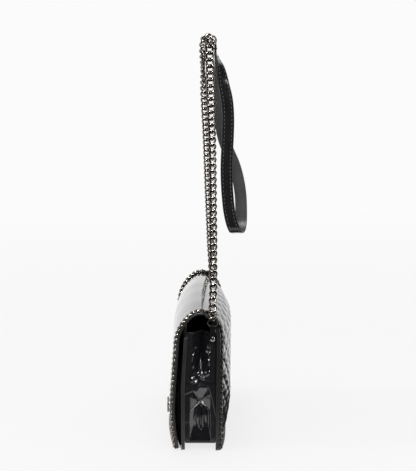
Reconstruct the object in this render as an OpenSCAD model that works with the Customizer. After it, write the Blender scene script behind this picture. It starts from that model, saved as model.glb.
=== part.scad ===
// Small flap shoulder bag with a curb chain strap, in millimetres.
// X runs along the bag with the near end at +X, Y runs from the flap face to the quilted back, Z is up.
// The origin is on the floor, under the middle of the whole outline.

/* [Bag body] */
// Length of the flap and the back over their chain trim
bag_len = 195; // [160:1:230]
// Height of the roll above the floor
bag_h = 125; // [110:1:150]
// Depth of the opening between the two facings
opening_d = 27.5; // [22:0.5:40]
// Height of the front panel
front_h = 100; // [70:1:101]
// How far the front panel stops short of the flap's end
front_inset = 1; // [0.5:0.1:4]
// Gap between the flap and the front panel at the bag's ends
flap_gap = 5; // [4.6:0.1:9]
// Height of the base above the floor
base_lift = 5.5; // [3:0.1:12]

/* [Roll over the top] */
// Radius of the top of the roll
roll_r = 16; // [13:0.5:20]
// Radius of the shoulder in front of the roll
shoulder_r = 36; // [30:1:60]
// Angle at which the roll eases into the front shoulder
shoulder_turn = 38; // [30:1:50]
// Lean of the flap's face from upright
flap_lean = 4.2; // [2:0.1:7]
// Radius of the inward curl at the foot of the flap
curl_r = 180; // [150:5:400]
// Height at which the curl begins
curl_z = 50; // [40:1:55]
// Clearance between the flap's edge and the floor
flap_foot = 1.2; // [0.8:0.1:6]
// Radius of the shoulder behind the roll
back_r = 27; // [24:0.5:32]
// Place of the hinge line ahead of the roll's back edge, as an angle from upright
hinge_turn = 5.4; // [2:0.1:12]

/* [Leather] */
// Thickness of the outer leather
leather_t = 1.2; // [0.8:0.1:1.8]
// Thickness of the flap's lining
lining_t = 0.8; // [0.5:0.1:1.2]
// Thickness of the stiffened facings inside the front and the back
facing_t = 1.9; // [1:0.1:2.5]
// Glue line left between two layers
seam = 0.1; // [0.05:0.05:0.2]
// How far the stuffed front of the flap swells at mid length
flap_swell = 4.3; // [2:0.1:7]
// Further swell at the foot of the flap
foot_swell = 3.5; // [0:0.1:5]
// How far the stuffed back swells at mid length
back_swell = 9.6; // [4:0.1:12]
// How far the front panel swells at mid length
front_swell = 5; // [0:0.1:6]
// How far the top of the roll swells at mid length
top_swell = 2.3; // [0:0.1:4]

/* [Chain trim] */
// Height of the chain trim above the leather
trim_h = 2.4; // [1.5:0.1:3]
// Width of the chain trim
trim_w = 4; // [3:0.1:6]

/* [Gusset] */
// Depth of the inward fold
fold_d = 11; // [6:0.5:14]
// Width of the flat seam on each side of the fold
flange_w = 4; // [3:0.1:6]
// Height at which the creases cross
crease_z = 45; // [30:1:60]
// Height of the facet that opens over the crossing
facet_h = 18; // [8:1:20]
// How far the gusset is set in from the flap's end
gusset_inset = 2.5; // [2.2:0.1:6]
// Thickness of the gusset leather along the bag
gusset_t = 1.6; // [1:0.1:2]
// Height of the gusset's top edge
gusset_h = 104; // [90:1:106]

/* [Pocket] */
// Width of the slip pocket
pocket_w = 116; // [60:1:140]
// Height of the slip pocket's mouth above the floor
pocket_top = 82; // [60:1:90]

/* [Fastening] */
// Height of the clasp and the magnet above the floor
clasp_z = 15.6; // [12:0.1:24]
// Diameter of the clasp button
clasp_d = 11.5; // [9:0.5:18]
// Thickness of the clasp button
clasp_t = 3; // [2:0.1:4]
// Diameter of the magnetic snap
snap_d = 14; // [10:0.5:18]
// Running clearance of the snap's pin in its hole
pin_play = 0.7; // [0.5:0.1:1]

/* [Chain] */
// Diameter of the chain wire
wire_d = 1.6; // [1.2:0.1:1.7]
// Target pitch of the links
link_pitch = 5.8; // [5.6:0.1:7]
// Twist of a link's side from flat
side_twist = 14; // [12:1:18]
// Slope of a link's side along the chain
side_slope = 30; // [26:1:34]
// Clearance between two links
link_play = 0.2; // [0.12:0.01:0.3]

/* [Rings] */
// Mean radius of the lower rings
ring_r = 3.95; // [3.8:0.05:4.4]
// Wire diameter of the lower rings
ring_d = 1.7; // [1.4:0.1:1.8]
// Height of the lower rings' centre below the top of the roll
ring_drop = 10; // [9:0.5:12]
// Mean radius of the upper rings
eye_r = 3.6; // [3.5:0.05:4.2]
// Wire diameter of the upper rings
eye_d = 1.4; // [1.2:0.1:1.5]
// Clearance round a ring where leather holds it
ring_play = 0.3; // [0.2:0.05:0.35]
// Width of the leather tab round a lower ring
tab_w = 4.6; // [3:0.1:5]
// Diameter of the rivet's shank
rivet_d = 2; // [1.5:0.1:2.4]

/* [Leather strap] */
// Width of the leather strap
strap_w = 10.6; // [8:0.1:12]
// Thickness of the strap's outer leather
strap_t = 1.2; // [0.8:0.1:1.4]
// Thickness of the strap's lining
strap_lining_t = 0.9; // [0.6:0.1:1]
// Height of the upper rings above the top of the roll
strap_rise = 228.8; // [200:0.2:260]

/* [Hidden] */
$fn = 48;

half_len = bag_len / 2;
swell_half = half_len - trim_w - 0.3;
steps = 10;
body_xs = concat([-half_len], [for (i = [0:steps]) swell_half * (2 * i / steps - 1)], [half_len]);
mid_xs = [for (i = [0:steps]) swell_half * (2 * i / steps - 1)];

// Depth below the trim's outer line of each layer's outer and inner face
outer_in = trim_h + leather_t;
lining_out = outer_in + seam;
lining_in = lining_out + lining_t;
facing_in = lining_out + facing_t;

// Each station of an outline is y, z, the angle of its outward normal, and its swell at mid length
roll_c = [1, bag_h - roll_r];
front_turn = 90 + shoulder_turn;
front_c = roll_c - (shoulder_r - roll_r) * [cos(front_turn), sin(front_turn)];
lean_a = 180 - flap_lean;
lean_top = front_c + shoulder_r * [cos(lean_a), sin(lean_a)];
lean_low = [lean_top.x - (lean_top.y - curl_z) * tan(flap_lean), curl_z];
curl_c = lean_low - curl_r * [cos(lean_a), sin(lean_a)];
curl_end = 180 - asin((flap_foot - curl_c.y) / curl_r);
curl_trim = curl_end - trim_w / curl_r * 180 / PI;
back_turn = 45;
back_c = roll_c - (back_r - roll_r) * [cos(back_turn), sin(back_turn)];
back_top_z = back_c.y;
back_y = back_c.x + back_r;
back_foot_y = back_y - 1;

hinge_a = 90 - hinge_turn;
hinge_gap_a = 1.6;

function span(a, b, n) = [for (i = [0:n]) a + (b - a) * i / n];
function arc_station(c, r, a, s) = [c.x + r * cos(a), c.y + r * sin(a), a, s];
function foot_add(z) = foot_swell * pow(max(0, 1 - z / curl_z), 1.5);
function flap_amp(a) = top_swell + (flap_swell - top_swell) * min(1, (a - hinge_a) / (lean_a - hinge_a));
function back_amp(a) = top_swell + (back_swell - top_swell) * (hinge_a - a) / hinge_a;
back_fade_z = 40;
function back_fade(z) = 0.25 + 0.75 * (1 - pow(max(0, 1 - z / back_fade_z), 2));

flap_path = concat(
    [for (a = span(hinge_a, front_turn, 6)) arc_station(roll_c, roll_r, a, flap_amp(a))],
    [for (a = span(front_turn, lean_a, 5)) if (a > front_turn) arc_station(front_c, shoulder_r, a, flap_amp(a))],
    [for (t = [1 / 3, 2 / 3]) concat(lean_top + (lean_low - lean_top) * t, [lean_a, flap_swell])],
    [for (a = concat(span(lean_a, curl_trim, 4), [curl_end]))
        let (p = curl_c + curl_r * [cos(a), sin(a)]) [p.x, p.y, a, flap_swell + foot_add(p.y)]]
);
back_path = concat(
    [for (a = span(hinge_a - hinge_gap_a, back_turn, 5)) arc_station(roll_c, roll_r, a, back_amp(a))],
    [for (a = span(back_turn, 0, 5)) if (a < back_turn) arc_station(back_c, back_r, a, back_amp(a))],
    [for (z = [82, 64, 47, 32, 20, 10, trim_w, 0])
        [back_foot_y + (back_y - back_foot_y) * z / back_top_z, z, 0, back_swell * back_fade(z)]]
);

// The front panel stands a set gap behind the flap's lining and leans back above its middle
front_y = lean_low.x + facing_in - facing_t + lining_t + flap_gap;
front_lean_z = 55;
front_lean = 2.5;
function front_back_off(z) = front_lean * max(0, z - front_lean_z) / (front_h - front_lean_z);
front_half = half_len - front_inset;
front_xs = concat([-front_half], mid_xs, [front_half]);
front_belly_z = 52;
front_belly_h = 62;
function front_fade(z) = max(0, 1 - pow((z - front_belly_z) / front_belly_h, 2));
function front_station(z) =
    [front_y + front_back_off(z), z, 180, front_swell * front_fade(z)];
front_path = [for (s = [0, 0.06, 0.14, 0.24, 0.38, 0.52, 0.66, 0.8, 0.9, 1]) front_station(s * front_h)];

// Insides of the two facings, where the base and the gussets fit
front_in_y = front_y + leather_t + seam + facing_t;
back_in_y = back_foot_y - facing_in;
fit = 0.2;

function swell_at(x) = max(0, 1 - pow(x / swell_half, 2));
function face_point(p, x, d) = [x, p[0] + (p[3] * swell_at(x) - d) * cos(p[2]), p[1] + (p[3] * swell_at(x) - d) * sin(p[2])];

// A closed sheet that follows an outline over a list of stations along the bag
module sheet(path, xs, d_out, d_in) {
    n = len(path);
    m = len(xs);
    points = concat(
        [for (x = xs) for (p = path) face_point(p, x, d_out)],
        [for (x = xs) for (p = path) face_point(p, x, d_in)]
    );
    function at(side, i, j) = side * n * m + i * n + j;
    faces = concat(
        [for (i = [0:m - 2]) for (j = [0:n - 2]) each
            [[at(0, i, j), at(0, i + 1, j), at(0, i, j + 1)],
                [at(0, i + 1, j), at(0, i + 1, j + 1), at(0, i, j + 1)],
                [at(1, i, j), at(1, i, j + 1), at(1, i + 1, j)],
                [at(1, i + 1, j), at(1, i, j + 1), at(1, i + 1, j + 1)]]],
        [for (j = [0:n - 2]) each
            [[at(0, 0, j), at(0, 0, j + 1), at(1, 0, j)],
                [at(0, 0, j + 1), at(1, 0, j + 1), at(1, 0, j)],
                [at(0, m - 1, j), at(1, m - 1, j), at(0, m - 1, j + 1)],
                [at(0, m - 1, j + 1), at(1, m - 1, j), at(1, m - 1, j + 1)]]],
        [for (i = [0:m - 2]) each
            [[at(0, i, 0), at(1, i, 0), at(0, i + 1, 0)],
                [at(0, i + 1, 0), at(1, i, 0), at(1, i + 1, 0)],
                [at(0, i, n - 1), at(0, i + 1, n - 1), at(1, i, n - 1)],
                [at(0, i + 1, n - 1), at(1, i + 1, n - 1), at(1, i, n - 1)]]]
    );
    polyhedron(points, faces);
}

function tail(list, n) = [for (i = [len(list) - n:len(list) - 1]) list[i]];
near_edge_xs = [swell_half + 0.3, half_len];
far_edge_xs = [-half_len, -swell_half - 0.3];

// Middle of the clasp on the flap's face, and the faces of the flap and the front panel there
function mid_y(path, d) = [for (p = path) [p[1], p[0] + (p[3] - d) * cos(p[2])]];
clasp_seat_y = lookup(clasp_z, [for (p = tail(flap_path, 6)) [p[1], p[0] + (p[3] - trim_h) * cos(p[2])]]);
stud_seat_y = lookup(clasp_z, [for (p = tail(flap_path, 6)) [p[1], p[0] + (p[3] - lining_in) * cos(p[2])]]);
cup_seat_y = lookup(clasp_z, [for (p = front_path) [p[1], p[0] - p[3]]]);
// The flap's foot and the front panel curve, so the flat backs of stud and cup stand off them at mid height
stud_play = 0.4;
cup_play = 0.75;
snap_gap = 0.3;
cup_h = (cup_seat_y - stud_seat_y - snap_gap) * 0.52;
stud_h = cup_seat_y - stud_seat_y - snap_gap - cup_h - stud_play - cup_play;

// Rings, strands and strap
ring_x = half_len + 2.9;
ring_y = 11;
ring_z = bag_h - ring_drop;
eye_y = 10.5;
eye_z = bag_h + strap_rise;
eye_near_x = 42;
eye_far_x = 24;
chain_hook_a = -105;
strap_hook_a = -35;
contact = (wire_d + link_play) / 2;
lower_joint_z = ring_z + ring_r - (ring_d + wire_d) / 2 - link_play + contact;
hook_r = eye_r - (eye_d + wire_d) / 2 - link_play + contact;
hook_y = eye_y + hook_r * cos(chain_hook_a);
hook_z = eye_z + hook_r * sin(chain_hook_a);

// Route of each strand, from its lower ring up to its upper ring
near_route = [
    [ring_x, ring_y, lower_joint_z], [ring_x, ring_y, ring_z + 12], [ring_x - 0.4, ring_y + 0.2, ring_z + 19],
    [96, 11.6, 150], [80.5, 11.4, 205], [64, 10.8, 262], [50.5, 9.4, eye_z - 43.8],
    [43.5, 8.8, eye_z - 15.8], [eye_near_x, hook_y, hook_z],
];
far_route = [
    [-ring_x, ring_y, lower_joint_z], [-ring_x, ring_y - 0.2, ring_z + 12], [0.8 - ring_x, ring_y - 0.6, ring_z + 20],
    [-91, 8.9, 152], [-62, 7.4, 206], [-31, 5.5, 263], [2, 2.8, eye_z - 31.8], [14, 3.4, eye_z - 17.3],
    [21, 6.2, eye_z - 8.8], [eye_far_x, hook_y, hook_z],
];
// Turn of the links about the strand, by the distance along it
near_turns = [[0, -32], [38, 0], [160, 0], [200, -90], [225, -95], [241, -130]];
far_turns = [[0, -32], [38, 0], [200, 0], [235, -80], [267, -145]];

// Route of the leather strap: down its near ply, round its bight and up its far ply
strap_top_z = eye_z + eye_r * sin(strap_hook_a) - 8.6;
strap_end_y = eye_y + eye_r * cos(strap_hook_a);
// Each point is x, y, z and the turn of the strap's width from Y towards X
strap_route = [
    [eye_near_x, strap_end_y, strap_top_z, -88], [42.6, 15.6, 337, -80], [43.6, 18.6, 330, -68],
    [44.5, 21.5, 316, -45], [45, 23.9, 302, -20], [45, 24.7, 288, -10], [45, 24.6, 274, -6], [45, 24, 260, -4],
    [45, 23.4, 246, -2], [45, 23.5, 232, 0], [45, 24.3, 218, 0], [45, 25.8, 204, 0], [44.6, 28.2, 193, 0],
    [41.8, 30.8, 186.4, 0], [37.5, 32.8, 184, 0], [32.5, 34.4, 184, 0], [28.2, 35.9, 186.4, 0], [25.4, 36.8, 193, 0],
    [25, 36.8, 204, 0], [25, 36.2, 216, 0], [25, 34.2, 229, 0], [25, 30.4, 243, 0], [25, 24.8, 256, 0],
    [25, 20.6, 268, 0], [25, 18.4, 282, 0], [25, 17.6, 300, 6], [24.8, 16.8, 314, 24], [24.4, 15.6, 328, 60],
    [24, 14.4, 337, 82], [eye_far_x, strap_end_y, strap_top_z, 88],
];

front_most = clasp_seat_y - clasp_t;
rear_most = max([for (p = strap_route) p.y + strap_w / 2]);
middle_y = (front_most + rear_most) / 2;

// Point at a distance along a smooth curve through a list of points
function blend(a, b, c, d, t) = 0.5 * (2 * b + (c - a) * t + (2 * a - 5 * b + 4 * c - d) * t * t
    + (3 * b - a - 3 * c + d) * t * t * t);
function curve(p, n) =
    let (last = len(p) - 1, q = concat([2 * p[0] - p[1]], p, [2 * p[last] - p[last - 1]]))
    concat([for (i = [0:last - 1]) for (k = [0:n - 1]) blend(q[i], q[i + 1], q[i + 2], q[i + 3], k / n)], [p[last]]);
function lengths(s) = [for (i = 0, a = 0; i < len(s); a = a + (i + 1 < len(s) ? norm(s[i + 1] - s[i]) : 0), i = i + 1) a];
function along(s, l, d) =
    let (i = max([for (k = [0:len(l) - 2]) if (l[k] <= d + 0.000001) k]))
    s[i] + (s[i + 1] - s[i]) * (d - l[i]) / (l[i + 1] - l[i]);
function unit(v) = v / norm(v);

// One link of the curb chain: two sloping sides and four arcs that meet at the crowns.
// It is drawn at a thousandth and then enlarged, so that its six pieces meet exactly and fuse into one.
small = 0.001;
module curb_link(half_h) {
    q = sin(side_twist) * tan(side_slope);
    w = half_h / (sin(side_twist) / tan(side_slope) + q + sqrt(q * q + 1));
    knee = [w * cos(side_twist), w * sin(side_twist), w * sin(side_twist) / tan(side_slope)];
    rise = [0, sin(side_slope), cos(side_slope)];
    chord = [0, 0, half_h] - knee;
    crown_way = 2 * (chord * rise) / (chord * chord) * chord - rise;
    turn = acos(rise * crown_way);
    r = norm(chord) / (2 * sin(turn / 2));
    across = unit(cross(rise, crown_way));
    inward = cross(across, rise);
    centre = (knee + r * inward) * small;
    scale(1 / small) {
        for (flip = [0, 180]) rotate([flip, 0, 0]) for (spin = [0, 180]) rotate([0, 0, spin])
            multmatrix([
                [-inward.x, rise.x, -across.x, centre.x],
                [-inward.y, rise.y, -across.y, centre.y],
                [-inward.z, rise.z, -across.z, centre.z],
            ])
                rotate_extrude(angle = turn) translate([r * small, 0]) circle(d = wire_d * small);
        for (spin = [0, 180]) rotate([0, 0, spin])
            translate([knee.x * small, 0, 0]) rotate([-side_slope, 0, 0])
                cylinder(d = wire_d * small, h = 2 * norm([0, knee.y, knee.z]) * small, center = true);
    }
}

// Links strung along a route, each between two joints on it
module strand(route, turns) {
    s = curve(route, 12);
    l = lengths(s);
    total = l[len(l) - 1];
    count = round(total / link_pitch);
    pitch = total / count;
    joints = [for (i = [0:count]) along(s, l, min(total, i * pitch))];
    for (i = [0:count - 1]) {
        w = unit(joints[i + 1] - joints[i]);
        u0 = unit([0, 1, 0] - w.y * w);
        v0 = cross(w, u0);
        a = lookup((i + 0.5) * pitch, turns);
        u = cos(a) * u0 + sin(a) * v0;
        v = cross(w, u);
        c = (joints[i] + joints[i + 1]) / 2;
        multmatrix([[u.x, v.x, w.x, c.x], [u.y, v.y, w.y, c.y], [u.z, v.z, w.z, c.z]])
            curb_link(pitch / 2 + contact);
    }
}

// A flat ribbon between two depths, where depth 0 is the outside of the strap's loop
module ribbon(d0, d1) {
    n = len(strap_route);
    mid_d = (strap_t + seam + strap_lining_t) / 2;
    function place(i) = [strap_route[i].x, strap_route[i].y, strap_route[i].z];
    // The cut ends are level, against the end plates
    function way(i) = i == 0 ? [0, 0, -1] : i == n - 1 ? [0, 0, 1] : unit(place(i + 1) - place(i - 1));
    function across(i) = let (a = strap_route[i][3], t = way(i), u = [sin(a), cos(a), 0]) unit(u - (u * t) * t);
    points = [for (i = [0:n - 1]) let (u = across(i), o = cross(way(i), u)) for (e = [[1, d0], [1, d1], [-1, d1], [-1, d0]])
        place(i) + e[0] * strap_w / 2 * u + (mid_d - e[1]) * o];
    // Both wide faces are split along the same diagonal, so that two layers keep their gap where they twist
    faces = concat(
        [for (i = [0:n - 2]) for (k = [0:3]) each
            let (a = 4 * i + k, b = 4 * i + (k + 1) % 4, c = a + 4, d = b + 4)
            k == 3 ? [[a, c, b], [b, c, d]] : [[a, d, b], [a, c, d]]],
        [[0, 1, 2], [0, 2, 3], [4 * n - 4, 4 * n - 2, 4 * n - 3], [4 * n - 4, 4 * n - 1, 4 * n - 2]]
    );
    polyhedron(points, faces);
}

module ring(x, y, z, r, d) {
    translate([x, y, z]) rotate([0, 90, 0]) rotate_extrude() translate([r, 0]) circle(d = d);
}

// The gusset's skin: two seams, two slopes of the fold, the triangle under the crossed creases,
// and over them the facet that buckles outward and turns back into the fold
gusset_x = half_len - gusset_inset;
gusset_front = front_in_y + fit;
gusset_back = back_in_y - fit;
fold_y = (gusset_front + gusset_back) / 2;
base_top = base_lift + 2;
facet_reach = 0.75;
facet_return = 6;
module gusset_skin(x, t) {
    low = base_top + fit;
    f = gusset_front;
    b = gusset_back;
    ft = f + front_back_off(gusset_h);
    facet_x = x - fold_d * (1 - facet_reach);
    facet_z = crease_z + facet_h;
    skin = [
        [x, ft, gusset_h], [x, ft + flange_w, gusset_h], [x - fold_d, fold_y, gusset_h], [x, b - flange_w, gusset_h],
        [x, b, gusset_h], [x, b, low], [x, b - flange_w, low], [x, f + flange_w, low], [x, f, low],
        [x, f, front_lean_z], [x - fold_d, fold_y, crease_z],
        [facet_x, fold_y + (f + flange_w - fold_y) * facet_reach, facet_z],
        [facet_x, fold_y + (b - flange_w - fold_y) * facet_reach, facet_z],
        [x - fold_d, fold_y, facet_z + facet_return],
    ];
    outer = [
        [0, 1, 7], [0, 7, 9], [9, 7, 8], [3, 4, 5], [3, 5, 6], [7, 10, 6],
        [1, 2, 13], [1, 13, 11], [1, 11, 7], [11, 10, 7],
        [2, 3, 13], [3, 12, 13], [3, 6, 12], [6, 10, 12],
        [10, 11, 12], [11, 13, 12],
    ];
    n = len(skin);
    rim = 10;
    polyhedron(
        concat(skin, [for (p = skin) p - [t, 0, 0]]),
        concat(
            outer,
            [for (t = outer) [t[0] + n, t[2] + n, t[1] + n]],
            [for (a = [0:rim - 1]) each let (c = (a + 1) % rim) [[a, c + n, c], [a, a + n, c + n]]]
        )
    );
}

module placed() {
    translate([0, -middle_y, 0]) children();
}

module both_ends() {
    children();
    mirror([1, 0, 0]) children();
}

// Back and roll
module back_panel() {
    color("#111214") placed() sheet(back_path, body_xs, trim_h, outer_in);
}
module back_facing() {
    color("#1b1b1d") placed() sheet(back_path, body_xs, lining_out, facing_in);
}
back_trim_path = [for (i = [0:len(back_path) - 2]) back_path[i]];
trim_lift = 0.4;
function raised(p, above) = p + (above - p) * trim_lift / (above[1] - p[1]);
back_edge_path = concat(back_trim_path, [raised(back_path[len(back_path) - 1], back_path[len(back_path) - 2])]);
module back_trim(xs) {
    color("#5a544e") placed() sheet(back_edge_path, xs, 0, trim_h - seam);
}
module back_trim_near() { back_trim(near_edge_xs); }
module back_trim_far() { back_trim(far_edge_xs); }
module back_trim_lower() {
    color("#5a544e") placed() sheet(tail(back_edge_path, 2), mid_xs, 0, trim_h - seam);
}

// Front and base
module front_panel() {
    color("#111214") placed() sheet(front_path, front_xs, 0, leather_t);
}
module front_facing() {
    color("#1b1b1d") placed() sheet(front_path, front_xs, leather_t + seam, leather_t + seam + facing_t);
}
// Outline of the base at a height, following the swell of both facings
function base_line(z, play) =
    let (fs = front_swell * front_fade(z), bs = back_swell * back_fade(z), xs = [for (x = mid_xs) x * (gusset_x - 1) / swell_half])
    concat(
        [for (x = xs) [x, front_in_y + play - fs * swell_at(x)]],
        [for (i = [len(xs) - 1:-1:0]) [xs[i], back_in_y - play + bs * swell_at(xs[i])]]
    );
module base_plate(z, t) {
    placed() translate([0, 0, z]) linear_extrude(t) polygon(base_line(z, fit));
}
module base_panel() {
    color("#111214") base_plate(base_lift, 0.9);
}
module base_board() {
    color("#8b8378") base_plate(base_lift + 0.9, 1.1);
}
module base_lining() {
    color("#2a2a2c") placed() translate([0, 0, base_top]) linear_extrude(0.7) intersection() {
        polygon(base_line(base_top, fit));
        square([2 * (gusset_x - fold_d - 3.2), 100], center = true);
    }
}

// Ends
module gusset() {
    difference() {
        gusset_skin(gusset_x, gusset_t);
        rivet_hole();
    }
}
lining_set = 0.8;
module gusset_near() { color("#141416") placed() gusset(); }
module gusset_far() { color("#141416") placed() mirror([1, 0, 0]) gusset(); }
module gusset_lining() { gusset_skin(gusset_x - gusset_t - lining_set, lining_t); }
module gusset_lining_near() { color("#2a2a2c") placed() gusset_lining(); }
module gusset_lining_far() { color("#2a2a2c") placed() mirror([1, 0, 0]) gusset_lining(); }

// Slip pocket on the back facing
pocket_xs = [for (i = [0:8]) pocket_w * (i / 8 - 0.5)];
pocket_path = [for (p = back_path) if (p[2] == 0 && p[1] > 15 && p[1] < pocket_top + 1) p];
module inner_pocket() {
    color("#2a2a2c") placed() sheet(pocket_path, pocket_xs, facing_in + 2 * seam, facing_in + 2 * seam + lining_t);
}

// Ring tabs and their rivets
tab_x = gusset_x + fit;
tab_t = 2.2;
// The rivet goes through under the gusset's edge, or under the ring where that is lower
rivet_drop = 4.6;
rivet_z = min(gusset_h, ring_z - 11) - rivet_drop;
tab_grip = ring_d / 2 + ring_play;
module ring_tab() {
    low_ring_z = ring_z - ring_r;
    difference() {
        translate([0, ring_y + tab_w / 2, 0]) rotate([90, 0, 0]) linear_extrude(tab_w) {
            polygon([
                [tab_x, rivet_z - 3.6], [tab_x + tab_t, rivet_z - 3.6], [tab_x + tab_t, rivet_z + 3],
                [ring_x + 2.2, low_ring_z - 0.9], [ring_x, low_ring_z], [ring_x - 2.2, low_ring_z - 0.7],
                [tab_x, rivet_z + 4.2],
            ]);
            translate([ring_x, low_ring_z]) circle(r = tab_grip + 1.25);
        }
        ring(ring_x, ring_y, ring_z, ring_r, 2 * tab_grip);
        rivet_hole();
    }
}
module rivet_hole() {
    translate([gusset_x - 15, ring_y, rivet_z]) rotate([0, 90, 0]) cylinder(d = rivet_d + 0.1, h = 30);
}
// Turned rivet: tail plate, shank and domed head
module rivet() {
    head_x = tab_x + tab_t + 0.05;
    tail_x = gusset_x - gusset_t - 0.1;
    r = rivet_d / 2;
    translate([0, ring_y, rivet_z]) rotate([0, 90, 0]) rotate_extrude()
        polygon([
            [0, tail_x - 0.5], [1.5, tail_x - 0.5], [1.5, tail_x], [r, tail_x], [r, head_x], [2, head_x],
            [2, head_x + 0.35], [1.4, head_x + 0.8], [0, head_x + 1],
        ]);
}
module ring_tab_near() { color("#141416") placed() ring_tab(); }
module ring_tab_far() { color("#141416") placed() mirror([1, 0, 0]) ring_tab(); }
module tab_rivets() { color("#8f8a84") placed() both_ends() rivet(); }

// Magnetic snap: a cup with its magnet on the front panel, and the stud under the flap
snap_turn = [90, 0, 0];
cup_wall = 0.6;
cup_hole = 2.6;
module snap_cup() {
    color("#6d6862") placed() translate([0, cup_seat_y - cup_play, clasp_z]) rotate(snap_turn) difference() {
        cylinder(d = snap_d, h = cup_h);
        translate([0, 0, cup_wall]) cylinder(d = snap_d - 2 * cup_wall, h = cup_h - 2 * cup_wall);
        translate([0, 0, cup_h - 2 * cup_wall]) cylinder(r = cup_hole, h = 2 * cup_wall + 1);
    }
}
module snap_magnet() {
    color("#3a3a3c") placed() translate([0, cup_seat_y - cup_play - cup_wall - seam, clasp_z]) rotate(snap_turn)
        difference() {
            cylinder(d = snap_d - 2 * cup_wall - 0.2, h = cup_h - 2 * cup_wall - 2 * seam);
            translate([0, 0, -1]) cylinder(r = cup_hole, h = cup_h + 2);
        }
}
module snap_stud() {
    color("#6d6862") placed() translate([0, stud_seat_y + stud_play, clasp_z]) rotate(-snap_turn) {
        cylinder(d = snap_d - 1, h = stud_h);
        cylinder(r = cup_hole - pin_play, h = stud_h + 1.6);
    }
}
// Round clasp button with a beaded rim, plain in its middle
module clasp_button() {
    bead = 0.75;
    rim_r = clasp_d / 2 - bead;
    color("#5f5a54") placed() translate([0, clasp_seat_y - 0.1, clasp_z]) rotate(snap_turn) {
        rotate_extrude() polygon([
            [0, 0], [clasp_d / 2 - 0.3, 0], [clasp_d / 2, 0.4], [clasp_d / 2, clasp_t - 1.3], [rim_r, clasp_t - 0.9],
            [rim_r - 0.9, clasp_t - 0.7], [1.5, clasp_t - 0.1], [0, clasp_t - 0.1],
        ]);
        for (i = [0:15]) rotate(i * 22.5) translate([rim_r, 0, clasp_t - 1]) sphere(r = bead);
    }
}

// Flap
module flap_outer() {
    color("#111214") placed() sheet(flap_path, body_xs, trim_h, outer_in);
}
module flap_lining() {
    color("#2a2a2c") placed() sheet(flap_path, body_xs, lining_out, lining_in);
}
module flap_trim(xs) {
    color("#5a544e") placed() sheet(flap_path, xs, 0, trim_h - seam);
}
module flap_trim_near() { flap_trim(near_edge_xs); }
module flap_trim_far() { flap_trim(far_edge_xs); }
module flap_trim_lower() {
    color("#5a544e") placed() sheet(tail(flap_path, 2), mid_xs, 0, trim_h - seam);
}

// Chain strap
module ring_near() { color("#6b655e") placed() ring(ring_x, ring_y, ring_z, ring_r, ring_d); }
module ring_far() { color("#6b655e") placed() ring(-ring_x, ring_y, ring_z, ring_r, ring_d); }
module chain_near() { color("#6b655e") placed() strand(near_route, near_turns); }
module chain_far() { color("#6b655e") placed() strand(far_route, far_turns); }
module upper_rings() {
    color("#6b655e") placed() for (x = [eye_near_x, eye_far_x]) ring(x, eye_y, eye_z, eye_r, eye_d);
}

// Leather shoulder strap
module strap_leather() { color("#17171a") placed() ribbon(0, strap_t); }
module strap_lining() { color("#46464a") placed() ribbon(strap_t + seam, strap_t + seam + strap_lining_t); }
end_t = 2;
end_rivet_z = strap_top_z + 4.1;
module strap_end() {
    top = eye_z + eye_r * sin(strap_hook_a) + 2.3;
    w = strap_w - 2.6;
    low = strap_top_z + seam;
    difference() {
        translate([0, strap_end_y + end_t / 2, 0]) rotate([90, 0, 0]) linear_extrude(end_t) {
            translate([-w / 2, low]) square([w, top - w / 2 - low]);
            translate([0, top - w / 2]) circle(d = w);
        }
        ring(0, eye_y, eye_z, eye_r, eye_d + 2 * ring_play);
        translate([0, strap_end_y - 5, end_rivet_z]) rotate([-90, 0, 0]) cylinder(d = 1.5, h = 10);
    }
}
module strap_ends() {
    color("#17171a") placed() for (x = [eye_near_x, eye_far_x]) translate([x, 0, 0]) strap_end();
}
module strap_rivets() {
    gap = end_t / 2 + 0.05;
    color("#8f8a84") placed() for (x = [eye_near_x, eye_far_x])
        translate([x, strap_end_y, end_rivet_z]) rotate([-90, 0, 0]) rotate_extrude()
            polygon([
                [0, -gap - 0.4], [1.3, -gap - 0.4], [1.3, -gap], [0.7, -gap], [0.7, gap], [1.5, gap],
                [1.5, gap + 0.3], [0.9, gap + 0.6], [0, gap + 0.7],
            ]);
}

back_panel();
back_facing();
back_trim_near();
back_trim_far();
back_trim_lower();
front_panel();
front_facing();
base_panel();
base_board();
base_lining();
gusset_near();
gusset_far();
gusset_lining_near();
gusset_lining_far();
inner_pocket();
ring_tab_near();
ring_tab_far();
tab_rivets();
snap_cup();
snap_magnet();
flap_outer();
flap_lining();
flap_trim_near();
flap_trim_far();
flap_trim_lower();
clasp_button();
snap_stud();
ring_near();
ring_far();
chain_near();
chain_far();
upper_rings();
strap_leather();
strap_lining();
strap_ends();
strap_rivets();
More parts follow.
